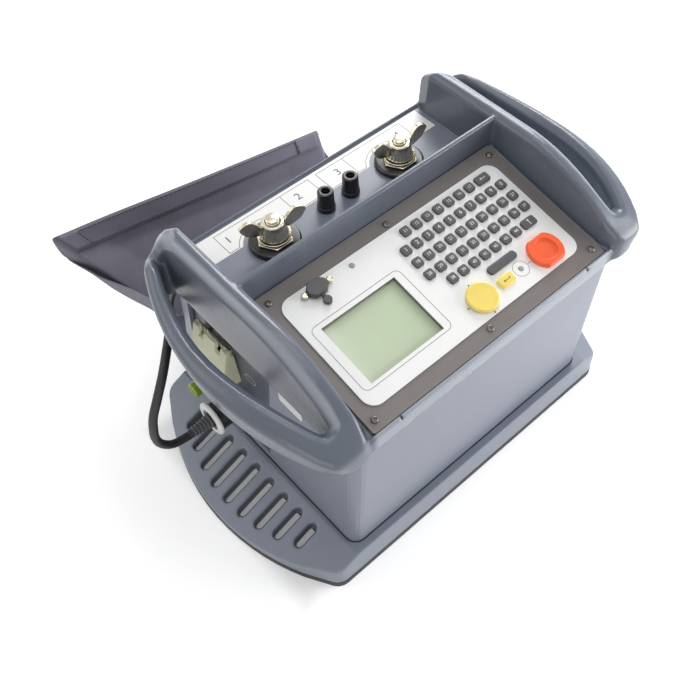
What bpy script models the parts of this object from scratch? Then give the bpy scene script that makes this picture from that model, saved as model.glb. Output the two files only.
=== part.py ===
"""Portable four-terminal low-resistance test set, with its mains lead and rear lead pouch.

Metres, +Z up. The origin is on the floor under the middle of the base, +X runs to the right of
the operator and +Y away from the operator. Each object is one physical piece.
"""
import math

import bmesh
import bpy
from mathutils import Matrix, Vector

MM = 0.001

# Clearances and shared walls
FIT = 0.3 * MM
RUNNING_FIT = 0.4 * MM
WALL = 4 * MM
ROUND_STEPS = 24

# Base tray with its two end wings
BASE_DEPTH = 253 * MM
BASE_TIP_X = 206 * MM
BASE_CORNER_X = 166 * MM
BASE_CORNER_RADIUS = 13 * MM
BASE_HEIGHT = 38 * MM
BASE_EDGE_RADIUS = 3 * MM
BASE_FLOOR = 7 * MM
WING_ROOT_X = 147 * MM
WING_TIP_HEIGHT = 13 * MM
WING_WALL = 5.5 * MM
FOOT_HEIGHT = 5 * MM
FOOT_INSET = 0.5 * MM
FOOT_WIDTH = 8 * MM
FOOT_OPENING_DEPTH = 184 * MM
FOOT_OPENING_MARGIN = 4 * MM
SLOT_COUNT = 9
SLOT_PITCH = 19.8 * MM
SLOT_WIDTH = 10 * MM
SLOT_INNER_X = 153.5 * MM
SLOT_OUTER_X = 195 * MM
SLOT_ARC_RADIUS = 182 * MM

# Case body: a shell that is deeper at the top of its front than at the bottom
BODY_HALF_LENGTH = 143 * MM
BODY_HALF_DEPTH = 118.5 * MM
BODY_FRONT_LEAN = 8.5 * MM
BODY_BACK_LEAN = 17.5 * MM
BODY_TOP_Z = 198 * MM
BODY_CORNER_RADIUS = 10 * MM

# Sloping front panel
PANEL_HALF_WIDTH = 126.2 * MM
PANEL_FRONT_Y = -127.6 * MM
PANEL_FRONT_Z = 214.1 * MM
PANEL_SLOPE_LENGTH = 136.4 * MM
PANEL_TILT = math.radians(11.25)
PANEL_THICKNESS = 3 * MM
PANEL_LEDGE = 9 * MM

# Top frame moulding: rib, terminal trough and the rims that run into the handles
FRAME_BLOCK_HALF_LENGTH = 139 * MM
LIP_FRONT_Y = -131 * MM
RIB_TOP_Z = 265 * MM
RIB_FRONT_Y = PANEL_FRONT_Y + PANEL_SLOPE_LENGTH * math.cos(PANEL_TILT) + 1.8 * MM
RIB_BACK_Y = RIB_FRONT_Y + 4.8 * MM
RIB_ROUND = 1.2 * MM
TROUGH_FLOOR_Z = 222 * MM
TROUGH_BACK_Y = 100 * MM
TROUGH_LIP = 2 * MM
RIM_TOP_Z = 268.5 * MM
RIM_CREST_X = 143 * MM
RIM_INNER_X = 134 * MM
RIM_DRAFT = 6.6 * MM
RIM_FRONT_FALL_Y = -20 * MM
RIM_FRONT_FALL = 3.56
RIM_BACK_FALL_Y = 84 * MM
RIM_BACK_FALL = 48.0
HANDLE_SLOPE = 0.58
HANDLE_SLOPE_EASE = 33.0
HANDLE_BACK_EASE_Y = 75 * MM
HANDLE_BACK_EASE = 944.0
HANDLE_FRONT_Y = -135 * MM
HANDLE_BACK_Y = 104 * MM
HANDLE_FRONT_X = 167 * MM
HANDLE_BACK_X = 159 * MM
HANDLE_TIP_X = 198 * MM
HANDLE_CORNER_RADIUS = 11 * MM
HANDLE_UNDERCUT = 6 * MM
HANDLE_UNDERSIDE_RISE = 8 * MM
HAND_HOLE_RIM_X = 150 * MM
HAND_HOLE_FRONT_Y = -108 * MM
HAND_HOLE_BACK_Y = 84 * MM
HAND_HOLE_END_X = 158 * MM
HAND_HOLE_TIP_X = 180 * MM
HAND_HOLE_RADIUS = 3.8 * MM
HANDLE_TOP_ROUND = 7.5 * MM
HANDLE_BOTTOM_ROUND = 4 * MM
LIP_NOTCH_X = 102 * MM
LIP_NOTCH_WIDTH = 3 * MM
LIP_NOTCH_DEPTH = 1.6 * MM

# Overlay, display and keys, in panel coordinates: x across, v up the slope
OVERLAY_HALF_WIDTH = 111.5 * MM
OVERLAY_FRONT_V = 15 * MM
OVERLAY_BACK_V = 122 * MM
OVERLAY_CORNER_RADIUS = 14 * MM
OVERLAY_THICKNESS = 0.7 * MM
WINDOW_LEFT_X = -102 * MM
WINDOW_WIDTH = 73.6 * MM
WINDOW_FRONT_V = 30.4 * MM
WINDOW_HEIGHT = 56.8 * MM
GLASS_BORDER = 4 * MM
GLASS_THICKNESS = 2.5 * MM
DISPLAY_DEPTH = 9 * MM
KEY_FIRST_X = -5 * MM
KEY_PITCH_X = 12.04 * MM
KEY_TOP_ROW_V = 112.6 * MM
KEY_PITCH_V = 13.68 * MM
KEY_SIZE = 8.6 * MM
KEY_CORNER_RADIUS = 2 * MM
KEY_HEIGHT = 2.2 * MM
KEY_MAT_BORDER = 2 * MM
KEY_ROWS = ((1, 7), (0, 9), (0, 9), (0, 9), (1, 7))
WIDE_KEY_ROWS = (0, 4)
WIDE_KEY_COLUMN = 8.25
WIDE_KEY_WIDTH = 14.5 * MM
BUTTON_DEPTH = 1.5 * MM
BUTTON_TRAVEL = 1.3 * MM
BUTTON_ROUND = 0.8 * MM
SPACE_BAR_X = 48.6 * MM
SPACE_BAR_V = 44.1 * MM
SPACE_BAR_WIDTH = 31 * MM
SPACE_BAR_HEIGHT = 7.6 * MM
ENTER_X = 39.9 * MM
ENTER_V = 30.6 * MM
ENTER_WIDTH = 15.5 * MM
ENTER_HEIGHT = 9.6 * MM
NAV_X = 12.8 * MM
NAV_V = 30.9 * MM
NAV_RADIUS = 14.9 * MM
NAV_PROUD = 4.2 * MM
NAV_GIMBAL_RADIUS = 4 * MM
NAV_GIMBAL_HEIGHT = 1 * MM
TEST_X = 85.2 * MM
TEST_V = 30.6 * MM
TEST_HALF_WIDTH = 15.6 * MM
TEST_HALF_HEIGHT = 13.4 * MM
TEST_FLAT_HALF = 8.5 * MM
TEST_PROUD = 4.5 * MM
TEST_DISH_RADIUS = 10.3 * MM
TEST_DISH_DEPTH = 1.8 * MM
POWER_LED_X = -47.5 * MM
POWER_LED_V = 114.7 * MM
TEST_LED_X = 57.6 * MM
TEST_LED_V = 31 * MM
LED_RADIUS = 2.5 * MM
LED_PROUD = 0.9 * MM
BOARD_THICKNESS = 1.6 * MM
KEY_BOARD_MARGIN = 2 * MM

# Serial socket and its rubber cap, in panel coordinates
SERIAL_X = -82.8 * MM
SERIAL_V = 114.8 * MM
SERIAL_NOSE_WIDTH = 16 * MM
SERIAL_NOSE_HEIGHT = 8 * MM
SERIAL_NOSE_PROUD = 2.2 * MM
SERIAL_DEPTH = 11 * MM
SERIAL_FLANGE_WIDTH = 31 * MM
SERIAL_FLANGE_HEIGHT = 12.5 * MM
SERIAL_FLANGE_THICKNESS = 1.5 * MM
JACK_SCREW_SPACING = 24.4 * MM
JACK_SCREW_RADIUS = 2.5 * MM
JACK_SCREW_PROUD = 4 * MM
CAP_WIDTH = 18.4 * MM
CAP_HEIGHT = 13 * MM
CAP_CHAMFER = 4 * MM
CAP_THICKNESS = 5.5 * MM
CAP_TAB_DISTANCE = 12.6 * MM
CAP_TAB_RADIUS = 3.6 * MM
CAP_STRAP_WIDTH = 3 * MM

# Terminals in the trough
TERMINAL_CENTRE_X = 0.5 * MM
STUD_SPACING = 137 * MM
STUD_Y = 56 * MM
STUD_RADIUS = 6 * MM
STUD_TOP_Z = 250.5 * MM
STUD_TAIL_Z = 200 * MM
STUD_CHAMFER = 1.2 * MM
STUD_HEX_RADIUS = 16 * MM
STUD_HEX_HEIGHT = 2 * MM
INSULATOR_RADIUS = 21.7 * MM
INSULATOR_HEIGHT = 4.7 * MM
INSULATOR_CHAMFER = 1.5 * MM
WASHER_RADIUS = 14 * MM
WASHER_THICKNESS = 2.2 * MM
WING_NUT_TURN = (-15, -5)
WING_NUT_BASE_RADIUS = 12 * MM
WING_NUT_TOP_RADIUS = 9.6 * MM
WING_NUT_HEIGHT = 14.8 * MM
WING_SPAN = 29 * MM
WING_TIP_RISE = 17 * MM
WING_THICKNESS = 3.6 * MM
POST_SPACING = 27 * MM
POST_Y = 57 * MM
POST_BASE_RADIUS = 7.9 * MM
POST_BASE_HEIGHT = 4.5 * MM
POST_PIN_RADIUS = 3.4 * MM
POST_CAP_RADIUS = 7.5 * MM
POST_CAP_TOP_RADIUS = 6.8 * MM
POST_CAP_HEIGHT = 15 * MM
POST_SOCKET_RADIUS = 3.4 * MM
POST_SOCKET_DEPTH = 5 * MM
POST_TAIL_Z = 208 * MM

# Left end: recessed connector panel with its switch, inlet and earth post
RECESS_FRONT_LOW_Y = -5 * MM
RECESS_FRONT_TOP_Y = -26 * MM
RECESS_BACK_LOW_Y = 99 * MM
RECESS_BACK_TOP_Y = 84 * MM
RECESS_BOTTOM_Z = 48 * MM
RECESS_TOP_Z = 190 * MM
SIDE_PANEL_LAP = 4 * MM
SIDE_PANEL_THICKNESS = 3 * MM
SWITCH_Y = 50 * MM
SWITCH_Z = 142 * MM
SWITCH_WIDTH = 32 * MM
SWITCH_HEIGHT = 22 * MM
SWITCH_FRAME = 3 * MM
SWITCH_FLANGE = 2 * MM
SWITCH_DEPTH = 24 * MM
ROCKER_PROUD = 3.4 * MM
ROCKER_ANGLE = 9
COVER_WIDTH = 46 * MM
COVER_HEIGHT = 46 * MM
COVER_DEPTH = 19 * MM
COVER_TOP_DEPTH = 9 * MM
COVER_WALL = 1.8 * MM
COVER_HINGE_Z = 167 * MM
HINGE_PIN_RADIUS = 1.5 * MM
HINGE_BARREL_RADIUS = 3 * MM
HINGE_STANDOFF = 4.2 * MM
INLET_Y = 35 * MM
INLET_Z = 88 * MM
INLET_RADIUS = 13 * MM
INLET_FLANGE = 34 * MM
INLET_FLANGE_THICKNESS = 2.5 * MM
INLET_REACH = 8 * MM
INLET_DEPTH = 26 * MM
PLUG_RADIUS = 13.6 * MM
PLUG_RING_RADIUS = 16 * MM
PLUG_RING_THICKNESS = 3 * MM
PLUG_FACE_X = -172 * MM
PLUG_WALL = 2 * MM
BOOT_LENGTH = 20 * MM
BOOT_RADIUS = 7 * MM
BOOT_TIP_RADIUS = 5.2 * MM
BOOT_RIBS = 5
BOOT_RIB_DEPTH = 0.8 * MM
EARTH_Y = 84 * MM
EARTH_Z = 66 * MM
EARTH_BASE_RADIUS = 8 * MM
EARTH_BASE_HEIGHT = 5 * MM
EARTH_PIN_RADIUS = 3 * MM
EARTH_CAP_RADIUS = 7.4 * MM
EARTH_CAP_LENGTH = 17 * MM

# Mains lead: visible loop, stored coil and the plug on its far end
CORD_RADIUS = 3.75 * MM
CORD_STEP = 18 * MM
COIL_TURNS = 3
COIL_TAIL_TURN = 0.125
COIL_INNER_RADIUS = 33 * MM
COIL_PITCH = 8.2 * MM
COIL_LAYER_PITCH = 9 * MM
COIL_CENTRE_X = -45 * MM
COIL_POINTS = 24
SUPPLY_PLUG_RADIUS = 16.5 * MM
SUPPLY_PLUG_LENGTH = 36 * MM
SUPPLY_PLUG_NECK_RADIUS = 7 * MM
SUPPLY_PLUG_NECK_LENGTH = 36 * MM
SUPPLY_PIN_RADIUS = 2.4 * MM
SUPPLY_PIN_LENGTH = 19 * MM
SUPPLY_PIN_SPACING = 19 * MM

# Rear lead pouch, with a leaning outer panel and a slanting open mouth
POUCH_WALL = 2.5 * MM
POUCH_FLOOR_Z = 42 * MM
POUCH_FLOOR_DEPTH = 40 * MM
POUCH_FLOOR_LEFT_X = -112 * MM
POUCH_FLOOR_RIGHT_X = 88 * MM
POUCH_MOUTH_LEFT_X = -153 * MM
POUCH_MOUTH_RIGHT_X = 108 * MM
POUCH_MOUTH_LEFT_Z = 141 * MM
POUCH_MOUTH_RIGHT_Z = 99 * MM
POUCH_HEM_LEFT = (-179 * MM, 262 * MM, 142 * MM)
POUCH_HEM_RIGHT = (125 * MM, 245 * MM, 104 * MM)

# Inside the case
CHASSIS_HALF_LENGTH = 128 * MM
CHASSIS_HALF_DEPTH = 104 * MM
CHASSIS_THICKNESS = 2 * MM
MODULE_LENGTH = 196 * MM
MODULE_DEPTH = 70 * MM
MODULE_HEIGHT = 84 * MM
MODULE_Y = 46 * MM
FIN_COUNT = 13
FIN_DEPTH = 14 * MM
FIN_WIDTH = 5 * MM
CORE_RADIUS = 52 * MM
CORE_HOLE_RADIUS = 17 * MM
CORE_HEIGHT = 58 * MM
CORE_X = -40 * MM
CORE_Y = -42 * MM
BUSBAR_WIDTH = 24 * MM
BUSBAR_THICKNESS = 6 * MM
CONTROL_BOARD_LENGTH = 90 * MM
CONTROL_BOARD_DEPTH = 74 * MM
CONTROL_BOARD_X = 74 * MM
CONTROL_BOARD_Y = -46 * MM
STANDOFF_RADIUS = 3 * MM
STANDOFF_HEIGHT = 14 * MM


for old in list(bpy.data.objects):
    bpy.data.objects.remove(old, do_unlink=True)


def collection(name):
    """A new collection under the scene's own."""
    group = bpy.data.collections.new(name)
    bpy.context.scene.collection.children.link(group)
    return group


parts = collection("low_resistance_test_set")
cutters = collection("cutters")


def finish(name, colour, roughness, metallic=0.0, alpha=1.0):
    """A Principled material with one colour (linear RGB)."""
    look = bpy.data.materials.new(name)
    look.use_nodes = True
    shader = look.node_tree.nodes["Principled BSDF"]
    shader.inputs["Base Color"].default_value = (*colour, 1.0)
    shader.inputs["Roughness"].default_value = roughness
    shader.inputs["Metallic"].default_value = metallic
    shader.inputs["Alpha"].default_value = alpha
    return look


CASE_GREY = finish("case_grey", (0.150, 0.168, 0.195), 0.45)
PANEL_BROWN = finish("panel_brown", (0.110, 0.100, 0.096), 0.50)
OVERLAY_WHITE = finish("overlay_white", (0.85, 0.85, 0.84), 0.40)
KEY_GREY = finish("key_grey", (0.070, 0.070, 0.076), 0.60)
BUTTON_YELLOW = finish("button_yellow", (0.95, 0.70, 0.08), 0.40)
BUTTON_ORANGE = finish("button_orange", (0.90, 0.17, 0.05), 0.40)
DISPLAY_GREEN = finish("display_green", (0.55, 0.66, 0.46), 0.20)
BLACK_PLASTIC = finish("black_plastic", (0.012, 0.012, 0.014), 0.40)
BLACK_RUBBER = finish("black_rubber", (0.018, 0.018, 0.019), 0.75)
NICKEL = finish("nickel", (0.62, 0.57, 0.45), 0.25, 1.0)
BRASS = finish("brass", (0.60, 0.42, 0.16), 0.30, 1.0)
COPPER = finish("copper", (0.70, 0.30, 0.18), 0.30, 1.0)
STEEL = finish("steel", (0.45, 0.45, 0.46), 0.35, 1.0)
WHITE_PLASTIC = finish("white_plastic", (0.78, 0.78, 0.76), 0.40)
COVER_CLEAR = finish("cover_clear", (0.66, 0.68, 0.46), 0.25, 0.0, 0.55)
EARTH_GREEN = finish("earth_green", (0.45, 0.62, 0.05), 0.45)
LED_GREY = finish("led_grey", (0.28, 0.28, 0.28), 0.30)
BOARD_GREEN = finish("board_green", (0.02, 0.12, 0.05), 0.50)
POUCH_CLOTH = finish("pouch_cloth", (0.055, 0.052, 0.066), 0.90)


def add(name, mesh, look, place=None, parent=None, angle=40):
    """Link a mesh as one named piece, with smooth shading up to the given angle."""
    piece = bpy.data.objects.new(name, mesh)
    parts.objects.link(piece)
    mesh.materials.clear()
    mesh.materials.append(look)
    mesh.shade_smooth()
    mesh.set_sharp_from_angle(angle=math.radians(angle))
    if parent is not None:
        piece.parent = parent
    if place is not None:
        piece.matrix_local = place
    return piece


def tool(name, mesh, place=None, parent=None):
    """Link a mesh as a hidden tool for a Boolean."""
    helper = bpy.data.objects.new(name, mesh)
    cutters.objects.link(helper)
    helper.hide_render = True
    helper.display_type = "WIRE"
    if parent is not None:
        helper.parent = parent
    if place is not None:
        helper.matrix_local = place
    return helper


def boolean(piece, other, operation):
    """Add an exact Boolean of the piece with another object."""
    step = piece.modifiers.new(other.name, "BOOLEAN")
    step.operation = operation
    step.object = other
    step.solver = "EXACT"


def soften(piece, width, segments=2, angle=35):
    """Round the piece's sharp edges."""
    step = piece.modifiers.new("rounded_edges", "BEVEL")
    step.width = width
    step.segments = segments
    step.limit_method = "ANGLE"
    step.angle_limit = math.radians(angle)


def shift(x=0.0, y=0.0, z=0.0):
    """A translation matrix."""
    return Matrix.Translation((x, y, z))


def mesh_of(bm, name):
    """Turn a bmesh into a mesh whose faces point out."""
    bmesh.ops.recalc_face_normals(bm, faces=bm.faces)
    mesh = bpy.data.meshes.new(name)
    bm.to_mesh(mesh)
    bm.free()
    return mesh


def box_mesh(name, low, high):
    """A box between two corners, from the cube primitive."""
    bm = bmesh.new()
    bmesh.ops.create_cube(bm, size=1.0)
    low = Vector(low)
    high = Vector(high)
    size = high - low
    for vert in bm.verts:
        vert.co = Vector((vert.co[i] * size[i] for i in range(3))) + (low + high) / 2
    return mesh_of(bm, name)


def baked(item, name):
    """The evaluated mesh of a curve, welded and centred on its object, in place of the curve."""
    bpy.context.view_layer.update()
    graph = bpy.context.evaluated_depsgraph_get()
    mesh = bpy.data.meshes.new_from_object(item.evaluated_get(graph))
    mesh.transform(item.matrix_world)
    bpy.data.objects.remove(item, do_unlink=True)
    bm = bmesh.new()
    bm.from_mesh(mesh)
    bpy.data.meshes.remove(mesh)
    bmesh.ops.remove_doubles(bm, verts=bm.verts, dist=1e-7)
    return mesh_of(bm, name)


def plate_mesh(name, loops, low, high):
    """A flat outline, with any holes, as thick as the span from low to high."""
    data = bpy.data.curves.new(name, "CURVE")
    data.dimensions = "2D"
    data.fill_mode = "BOTH"
    data.extrude = (high - low) / 2
    for loop in loops:
        spline = data.splines.new("POLY")
        spline.points.add(len(loop) - 1)
        for point, (x, y) in zip(spline.points, loop):
            point.co = (x, y, 0.0, 1.0)
        spline.use_cyclic_u = True
    item = bpy.data.objects.new(name, data)
    parts.objects.link(item)
    item.location.z = (low + high) / 2
    return baked(item, name)


def tube_mesh(name, points, radius, resolution):
    """A round tube with filled ends along a list of points."""
    data = bpy.data.curves.new(name, "CURVE")
    data.dimensions = "3D"
    data.bevel_depth = radius
    data.bevel_resolution = resolution
    data.use_fill_caps = True
    spline = data.splines.new("POLY")
    spline.points.add(len(points) - 1)
    for point, place in zip(spline.points, points):
        point.co = (*place, 1.0)
    item = bpy.data.objects.new(name, data)
    parts.objects.link(item)
    return baked(item, name)


def turned_mesh(name, profile, steps=ROUND_STEPS):
    """Turn a closed half profile (radius, height) round Z with a Screw modifier."""
    bm = bmesh.new()
    verts = [bm.verts.new((radius, 0.0, height)) for radius, height in profile]
    for first, second in zip(verts, verts[1:]):
        bm.edges.new((first, second))
    if profile[0][0] > 0 or profile[-1][0] > 0:
        bm.edges.new((verts[-1], verts[0]))
    mesh = bpy.data.meshes.new(name)
    bm.to_mesh(mesh)
    bm.free()
    item = bpy.data.objects.new(name, mesh)
    parts.objects.link(item)
    screw = item.modifiers.new("turn", "SCREW")
    screw.steps = steps
    screw.render_steps = steps
    screw.use_merge_vertices = True
    screw.merge_threshold = 1e-6
    return baked(item, name)


def arc(centre, radius, start, end, steps):
    """Points on an arc, angles in degrees."""
    points = []
    for i in range(steps + 1):
        angle = math.radians(start + (end - start) * i / steps)
        points.append((centre[0] + radius * math.cos(angle), centre[1] + radius * math.sin(angle)))
    return points


def circle(x, y, radius, steps=ROUND_STEPS):
    """A closed ring of points."""
    return arc((x, y), radius, 0, 360 * (steps - 1) / steps, steps - 1)


def rounded_rectangle(x, y, width, height, radius, steps=2):
    """A rectangle about (x, y) with rounded corners, counter-clockwise."""
    points = []
    inset_x = width / 2 - radius
    inset_y = height / 2 - radius
    for turn, (side_x, side_y) in enumerate(((1, 1), (-1, 1), (-1, -1), (1, -1))):
        centre = (x + side_x * inset_x, y + side_y * inset_y)
        points += arc(centre, radius, 90 * turn, 90 * turn + 90, steps)
    return points


def fillet(before, corner, after, radius, steps):
    """Points that round one corner between two neighbours."""
    corner = Vector(corner)
    to_before = (Vector(before) - corner).normalized()
    to_after = (Vector(after) - corner).normalized()
    half = to_before.angle(to_after) / 2
    centre = corner + (to_before + to_after).normalized() * (radius / math.sin(half))
    reach = radius / math.tan(half)
    first = corner + to_before * reach - centre
    last = corner + to_after * reach - centre
    points = []
    for i in range(steps + 1):
        spoke = first.lerp(last, i / steps).normalized() * radius
        points.append(tuple(centre + spoke))
    return points


def sagitta_arc(first, last, bulge_x, steps):
    """Points on the arc from one point to another whose furthest point is at bulge_x."""
    first = Vector(first)
    last = Vector(last)
    middle = (first + last) / 2
    half = (last - first).length / 2
    rise = bulge_x - middle.x
    radius = (half * half + rise * rise) / (2 * rise)
    outward = Vector((last.y - first.y, first.x - last.x)).normalized()
    if outward.x * rise < 0:
        outward = -outward
    centre = middle + outward * (abs(rise) - abs(radius))
    points = []
    for i in range(steps + 1):
        spoke = (first - centre).lerp(last - centre, i / steps).normalized() * abs(radius)
        points.append(tuple(centre + spoke))
    return points


# Base tray: flared moulding with slotted end wings
WING_ARC_STEPS = 20


def base_outline(inset):
    """Plan outline of the base, drawn in by the inset."""
    corner_x = BASE_CORNER_X - inset * 0.8
    tip_x = BASE_TIP_X - inset
    half = BASE_DEPTH / 2 - inset
    end = sagitta_arc((corner_x, -half), (corner_x, half), tip_x, WING_ARC_STEPS)
    left = [(-x, -y) for x, y in end]
    points = []
    for side, other in ((end, left), (left, end)):
        points += fillet(other[-1], side[0], side[2], BASE_CORNER_RADIUS, 3)
        points += side[3:-3]
        points += fillet(side[-3], side[-1], other[0], BASE_CORNER_RADIUS, 3)
    return points


base_tray = add("base_tray", plate_mesh("base_tray", [base_outline(0)], FOOT_HEIGHT, BASE_HEIGHT), CASE_GREY)
wing_run = BASE_TIP_X - WING_ROOT_X
wing_angle = math.atan2(BASE_HEIGHT - WING_TIP_HEIGHT, wing_run)
for side in (-1, 1):
    wedge_mesh = box_mesh("wing_slope", (0, -BASE_DEPTH, 0), (2 * wing_run, BASE_DEPTH, BASE_HEIGHT))
    wedge = tool("wing_slope", wedge_mesh)
    turn = Matrix.Rotation(wing_angle, 4, "Y")
    if side < 0:
        turn = Matrix.Rotation(math.pi, 4, "Z") @ turn
    wedge.matrix_local = shift(side * WING_ROOT_X, 0, BASE_HEIGHT) @ turn
    boolean(base_tray, wedge, "DIFFERENCE")
soften(base_tray, BASE_EDGE_RADIUS)


def slot_loop(side, y):
    """One slot in a wing, running outwards to an arc inside the wing's edge."""
    outer = SLOT_OUTER_X - SLOT_ARC_RADIUS + math.sqrt(SLOT_ARC_RADIUS ** 2 - y * y)
    length = outer - SLOT_INNER_X
    middle = side * (outer + SLOT_INNER_X) / 2
    return rounded_rectangle(middle, y, length, SLOT_WIDTH, SLOT_WIDTH * 0.49, 4)


def foot_opening(side):
    """Outline of the hollow under a wing and of the opening in the rubber foot below it."""
    inner = SLOT_INNER_X - FOOT_OPENING_MARGIN
    half = FOOT_OPENING_DEPTH / 2
    tip = BASE_TIP_X - FOOT_INSET - FOOT_WIDTH
    corner = BASE_CORNER_X + FOOT_OPENING_MARGIN
    bow = sagitta_arc((corner, -half), (corner, half), tip, 12)
    return [(side * x, y) for x, y in [(inner, -half), *bow, (inner, half)]]


wing_hollow = plate_mesh("wing_hollows", [foot_opening(-1), foot_opening(1)], 0, BASE_HEIGHT)
for vertex in wing_hollow.vertices:
    if vertex.co.z > FOOT_HEIGHT:
        fall = (abs(vertex.co.x) - WING_ROOT_X) * math.tan(wing_angle)
        vertex.co.z = BASE_HEIGHT - fall - WING_WALL
boolean(base_tray, tool("wing_hollows", wing_hollow), "DIFFERENCE")
slot_rows = [(i - (SLOT_COUNT - 1) / 2) * SLOT_PITCH for i in range(SLOT_COUNT)]
slots = [slot_loop(side, y) for side in (-1, 1) for y in slot_rows]
slots_mesh = plate_mesh("wing_slots", slots, -BASE_HEIGHT, 2 * BASE_HEIGHT)
boolean(base_tray, tool("wing_slots", slots_mesh), "DIFFERENCE")
well_x = BODY_HALF_LENGTH - 1.5 * WALL
well_y = BODY_HALF_DEPTH - 1.5 * WALL
well_z = FOOT_HEIGHT + BASE_FLOOR
well = box_mesh("tray_well", (-well_x, -well_y, well_z), (well_x, well_y, 2 * BASE_HEIGHT))
boolean(base_tray, tool("tray_well", well), "DIFFERENCE")

foot_loops = [base_outline(FOOT_INSET), foot_opening(-1), foot_opening(1)]
add("base_foot", plate_mesh("base_foot", foot_loops, 0, FOOT_HEIGHT - FIT), BLACK_RUBBER)

# Case body: open-ended shell that stands on the tray
body_low = BASE_HEIGHT + FIT


def body_front_y(z):
    """Where the outside of the leaning front wall is at a height."""
    return -BODY_HALF_DEPTH - BODY_FRONT_LEAN * (z - body_low) / (BODY_TOP_Z - body_low)


def body_back_y(z):
    """Where the outside of the leaning back wall is at a height."""
    return BODY_HALF_DEPTH - BODY_BACK_LEAN * (z - body_low) / (BODY_TOP_Z - body_low)


def body_block(name, inset, low, high):
    """A block with the body's leaning walls, drawn in by an inset."""
    bm = bmesh.new()
    bmesh.ops.create_cube(bm, size=2.0)
    for vert in bm.verts:
        z = high if vert.co.z > 0 else low
        y = body_front_y(z) + inset if vert.co.y < 0 else body_back_y(z) - inset
        vert.co = (math.copysign(BODY_HALF_LENGTH - inset, vert.co.x), y, z)
    uprights = [edge for edge in bm.edges if abs(edge.verts[0].co.z - edge.verts[1].co.z) > BASE_HEIGHT]
    radius = BODY_CORNER_RADIUS - inset
    bmesh.ops.bevel(bm, geom=uprights, offset=radius, segments=4, affect="EDGES", profile=0.5)
    return mesh_of(bm, name)


case_body = add("case_body", body_block("case_body", 0, body_low, BODY_TOP_Z), CASE_GREY)
inside = body_block("body_inside", WALL, body_low - WALL, BODY_TOP_Z + WALL)
boolean(case_body, tool("body_inside", inside), "DIFFERENCE")

# Panel frame: an empty on the panel's front edge, Z along the panel's normal
panel_frame = bpy.data.objects.new("panel_frame", None)
parts.objects.link(panel_frame)
panel_frame.location = (0, PANEL_FRONT_Y, PANEL_FRONT_Z)
panel_frame.rotation_euler = (PANEL_TILT, 0, 0)

# Top frame: extruded profile joined to a lofted rim and handle at each end
panel_run = PANEL_SLOPE_LENGTH * math.cos(PANEL_TILT)
panel_rise = PANEL_SLOPE_LENGTH * math.sin(PANEL_TILT)
seat_drop = (PANEL_THICKNESS + FIT) / math.cos(PANEL_TILT)
panel_back_y = PANEL_FRONT_Y + panel_run + PANEL_THICKNESS * math.sin(PANEL_TILT) + FIT
panel_back_z = PANEL_FRONT_Z + panel_rise
panel_edge_y = PANEL_FRONT_Y - FIT
frame_low = BODY_TOP_Z + FIT
frame_profile = [
    (LIP_FRONT_Y, frame_low),
    (TROUGH_BACK_Y + TROUGH_LIP, frame_low),
    (TROUGH_BACK_Y + TROUGH_LIP, TROUGH_FLOOR_Z + TROUGH_LIP),
    (TROUGH_BACK_Y, TROUGH_FLOOR_Z + TROUGH_LIP),
    (TROUGH_BACK_Y - TROUGH_LIP, TROUGH_FLOOR_Z),
    (RIB_BACK_Y, TROUGH_FLOOR_Z),
    (RIB_BACK_Y, RIB_TOP_Z - RIB_ROUND),
    (RIB_BACK_Y - RIB_ROUND, RIB_TOP_Z),
    (RIB_FRONT_Y + RIB_ROUND, RIB_TOP_Z),
    (RIB_FRONT_Y, RIB_TOP_Z - RIB_ROUND),
    (panel_back_y, panel_back_z),
    (panel_back_y, panel_back_z - seat_drop),
    (panel_edge_y, PANEL_FRONT_Z - seat_drop),
    (panel_edge_y, PANEL_FRONT_Z),
    (LIP_FRONT_Y + TROUGH_LIP, PANEL_FRONT_Z),
    (LIP_FRONT_Y, PANEL_FRONT_Z - TROUGH_LIP),
]
profile_turn = Matrix(((0, 0, 1, 0), (1, 0, 0, 0), (0, 1, 0, 0), (0, 0, 0, 1)))
frame_mesh = plate_mesh("top_frame", [frame_profile], -FRAME_BLOCK_HALF_LENGTH, FRAME_BLOCK_HALF_LENGTH)
frame_mesh.transform(profile_turn)
top_frame = add("top_frame", frame_mesh, CASE_GREY, angle=50)

RIM_STEPS = 16
END_STEPS = 6
ARC_STEPS = 22
CORNER_STEPS = 4


def resample(points, count):
    """Evenly spaced points on an open line, without its last point."""
    line = [Vector(point) for point in points]
    reach = [0.0]
    for first, second in zip(line, line[1:]):
        reach.append(reach[-1] + (second - first).length)
    result = []
    at = 0
    for i in range(count):
        goal = reach[-1] * i / count
        while reach[at + 1] < goal:
            at += 1
        share = (goal - reach[at]) / (reach[at + 1] - reach[at])
        result.append(line[at].lerp(line[at + 1], share))
    return result


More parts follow.
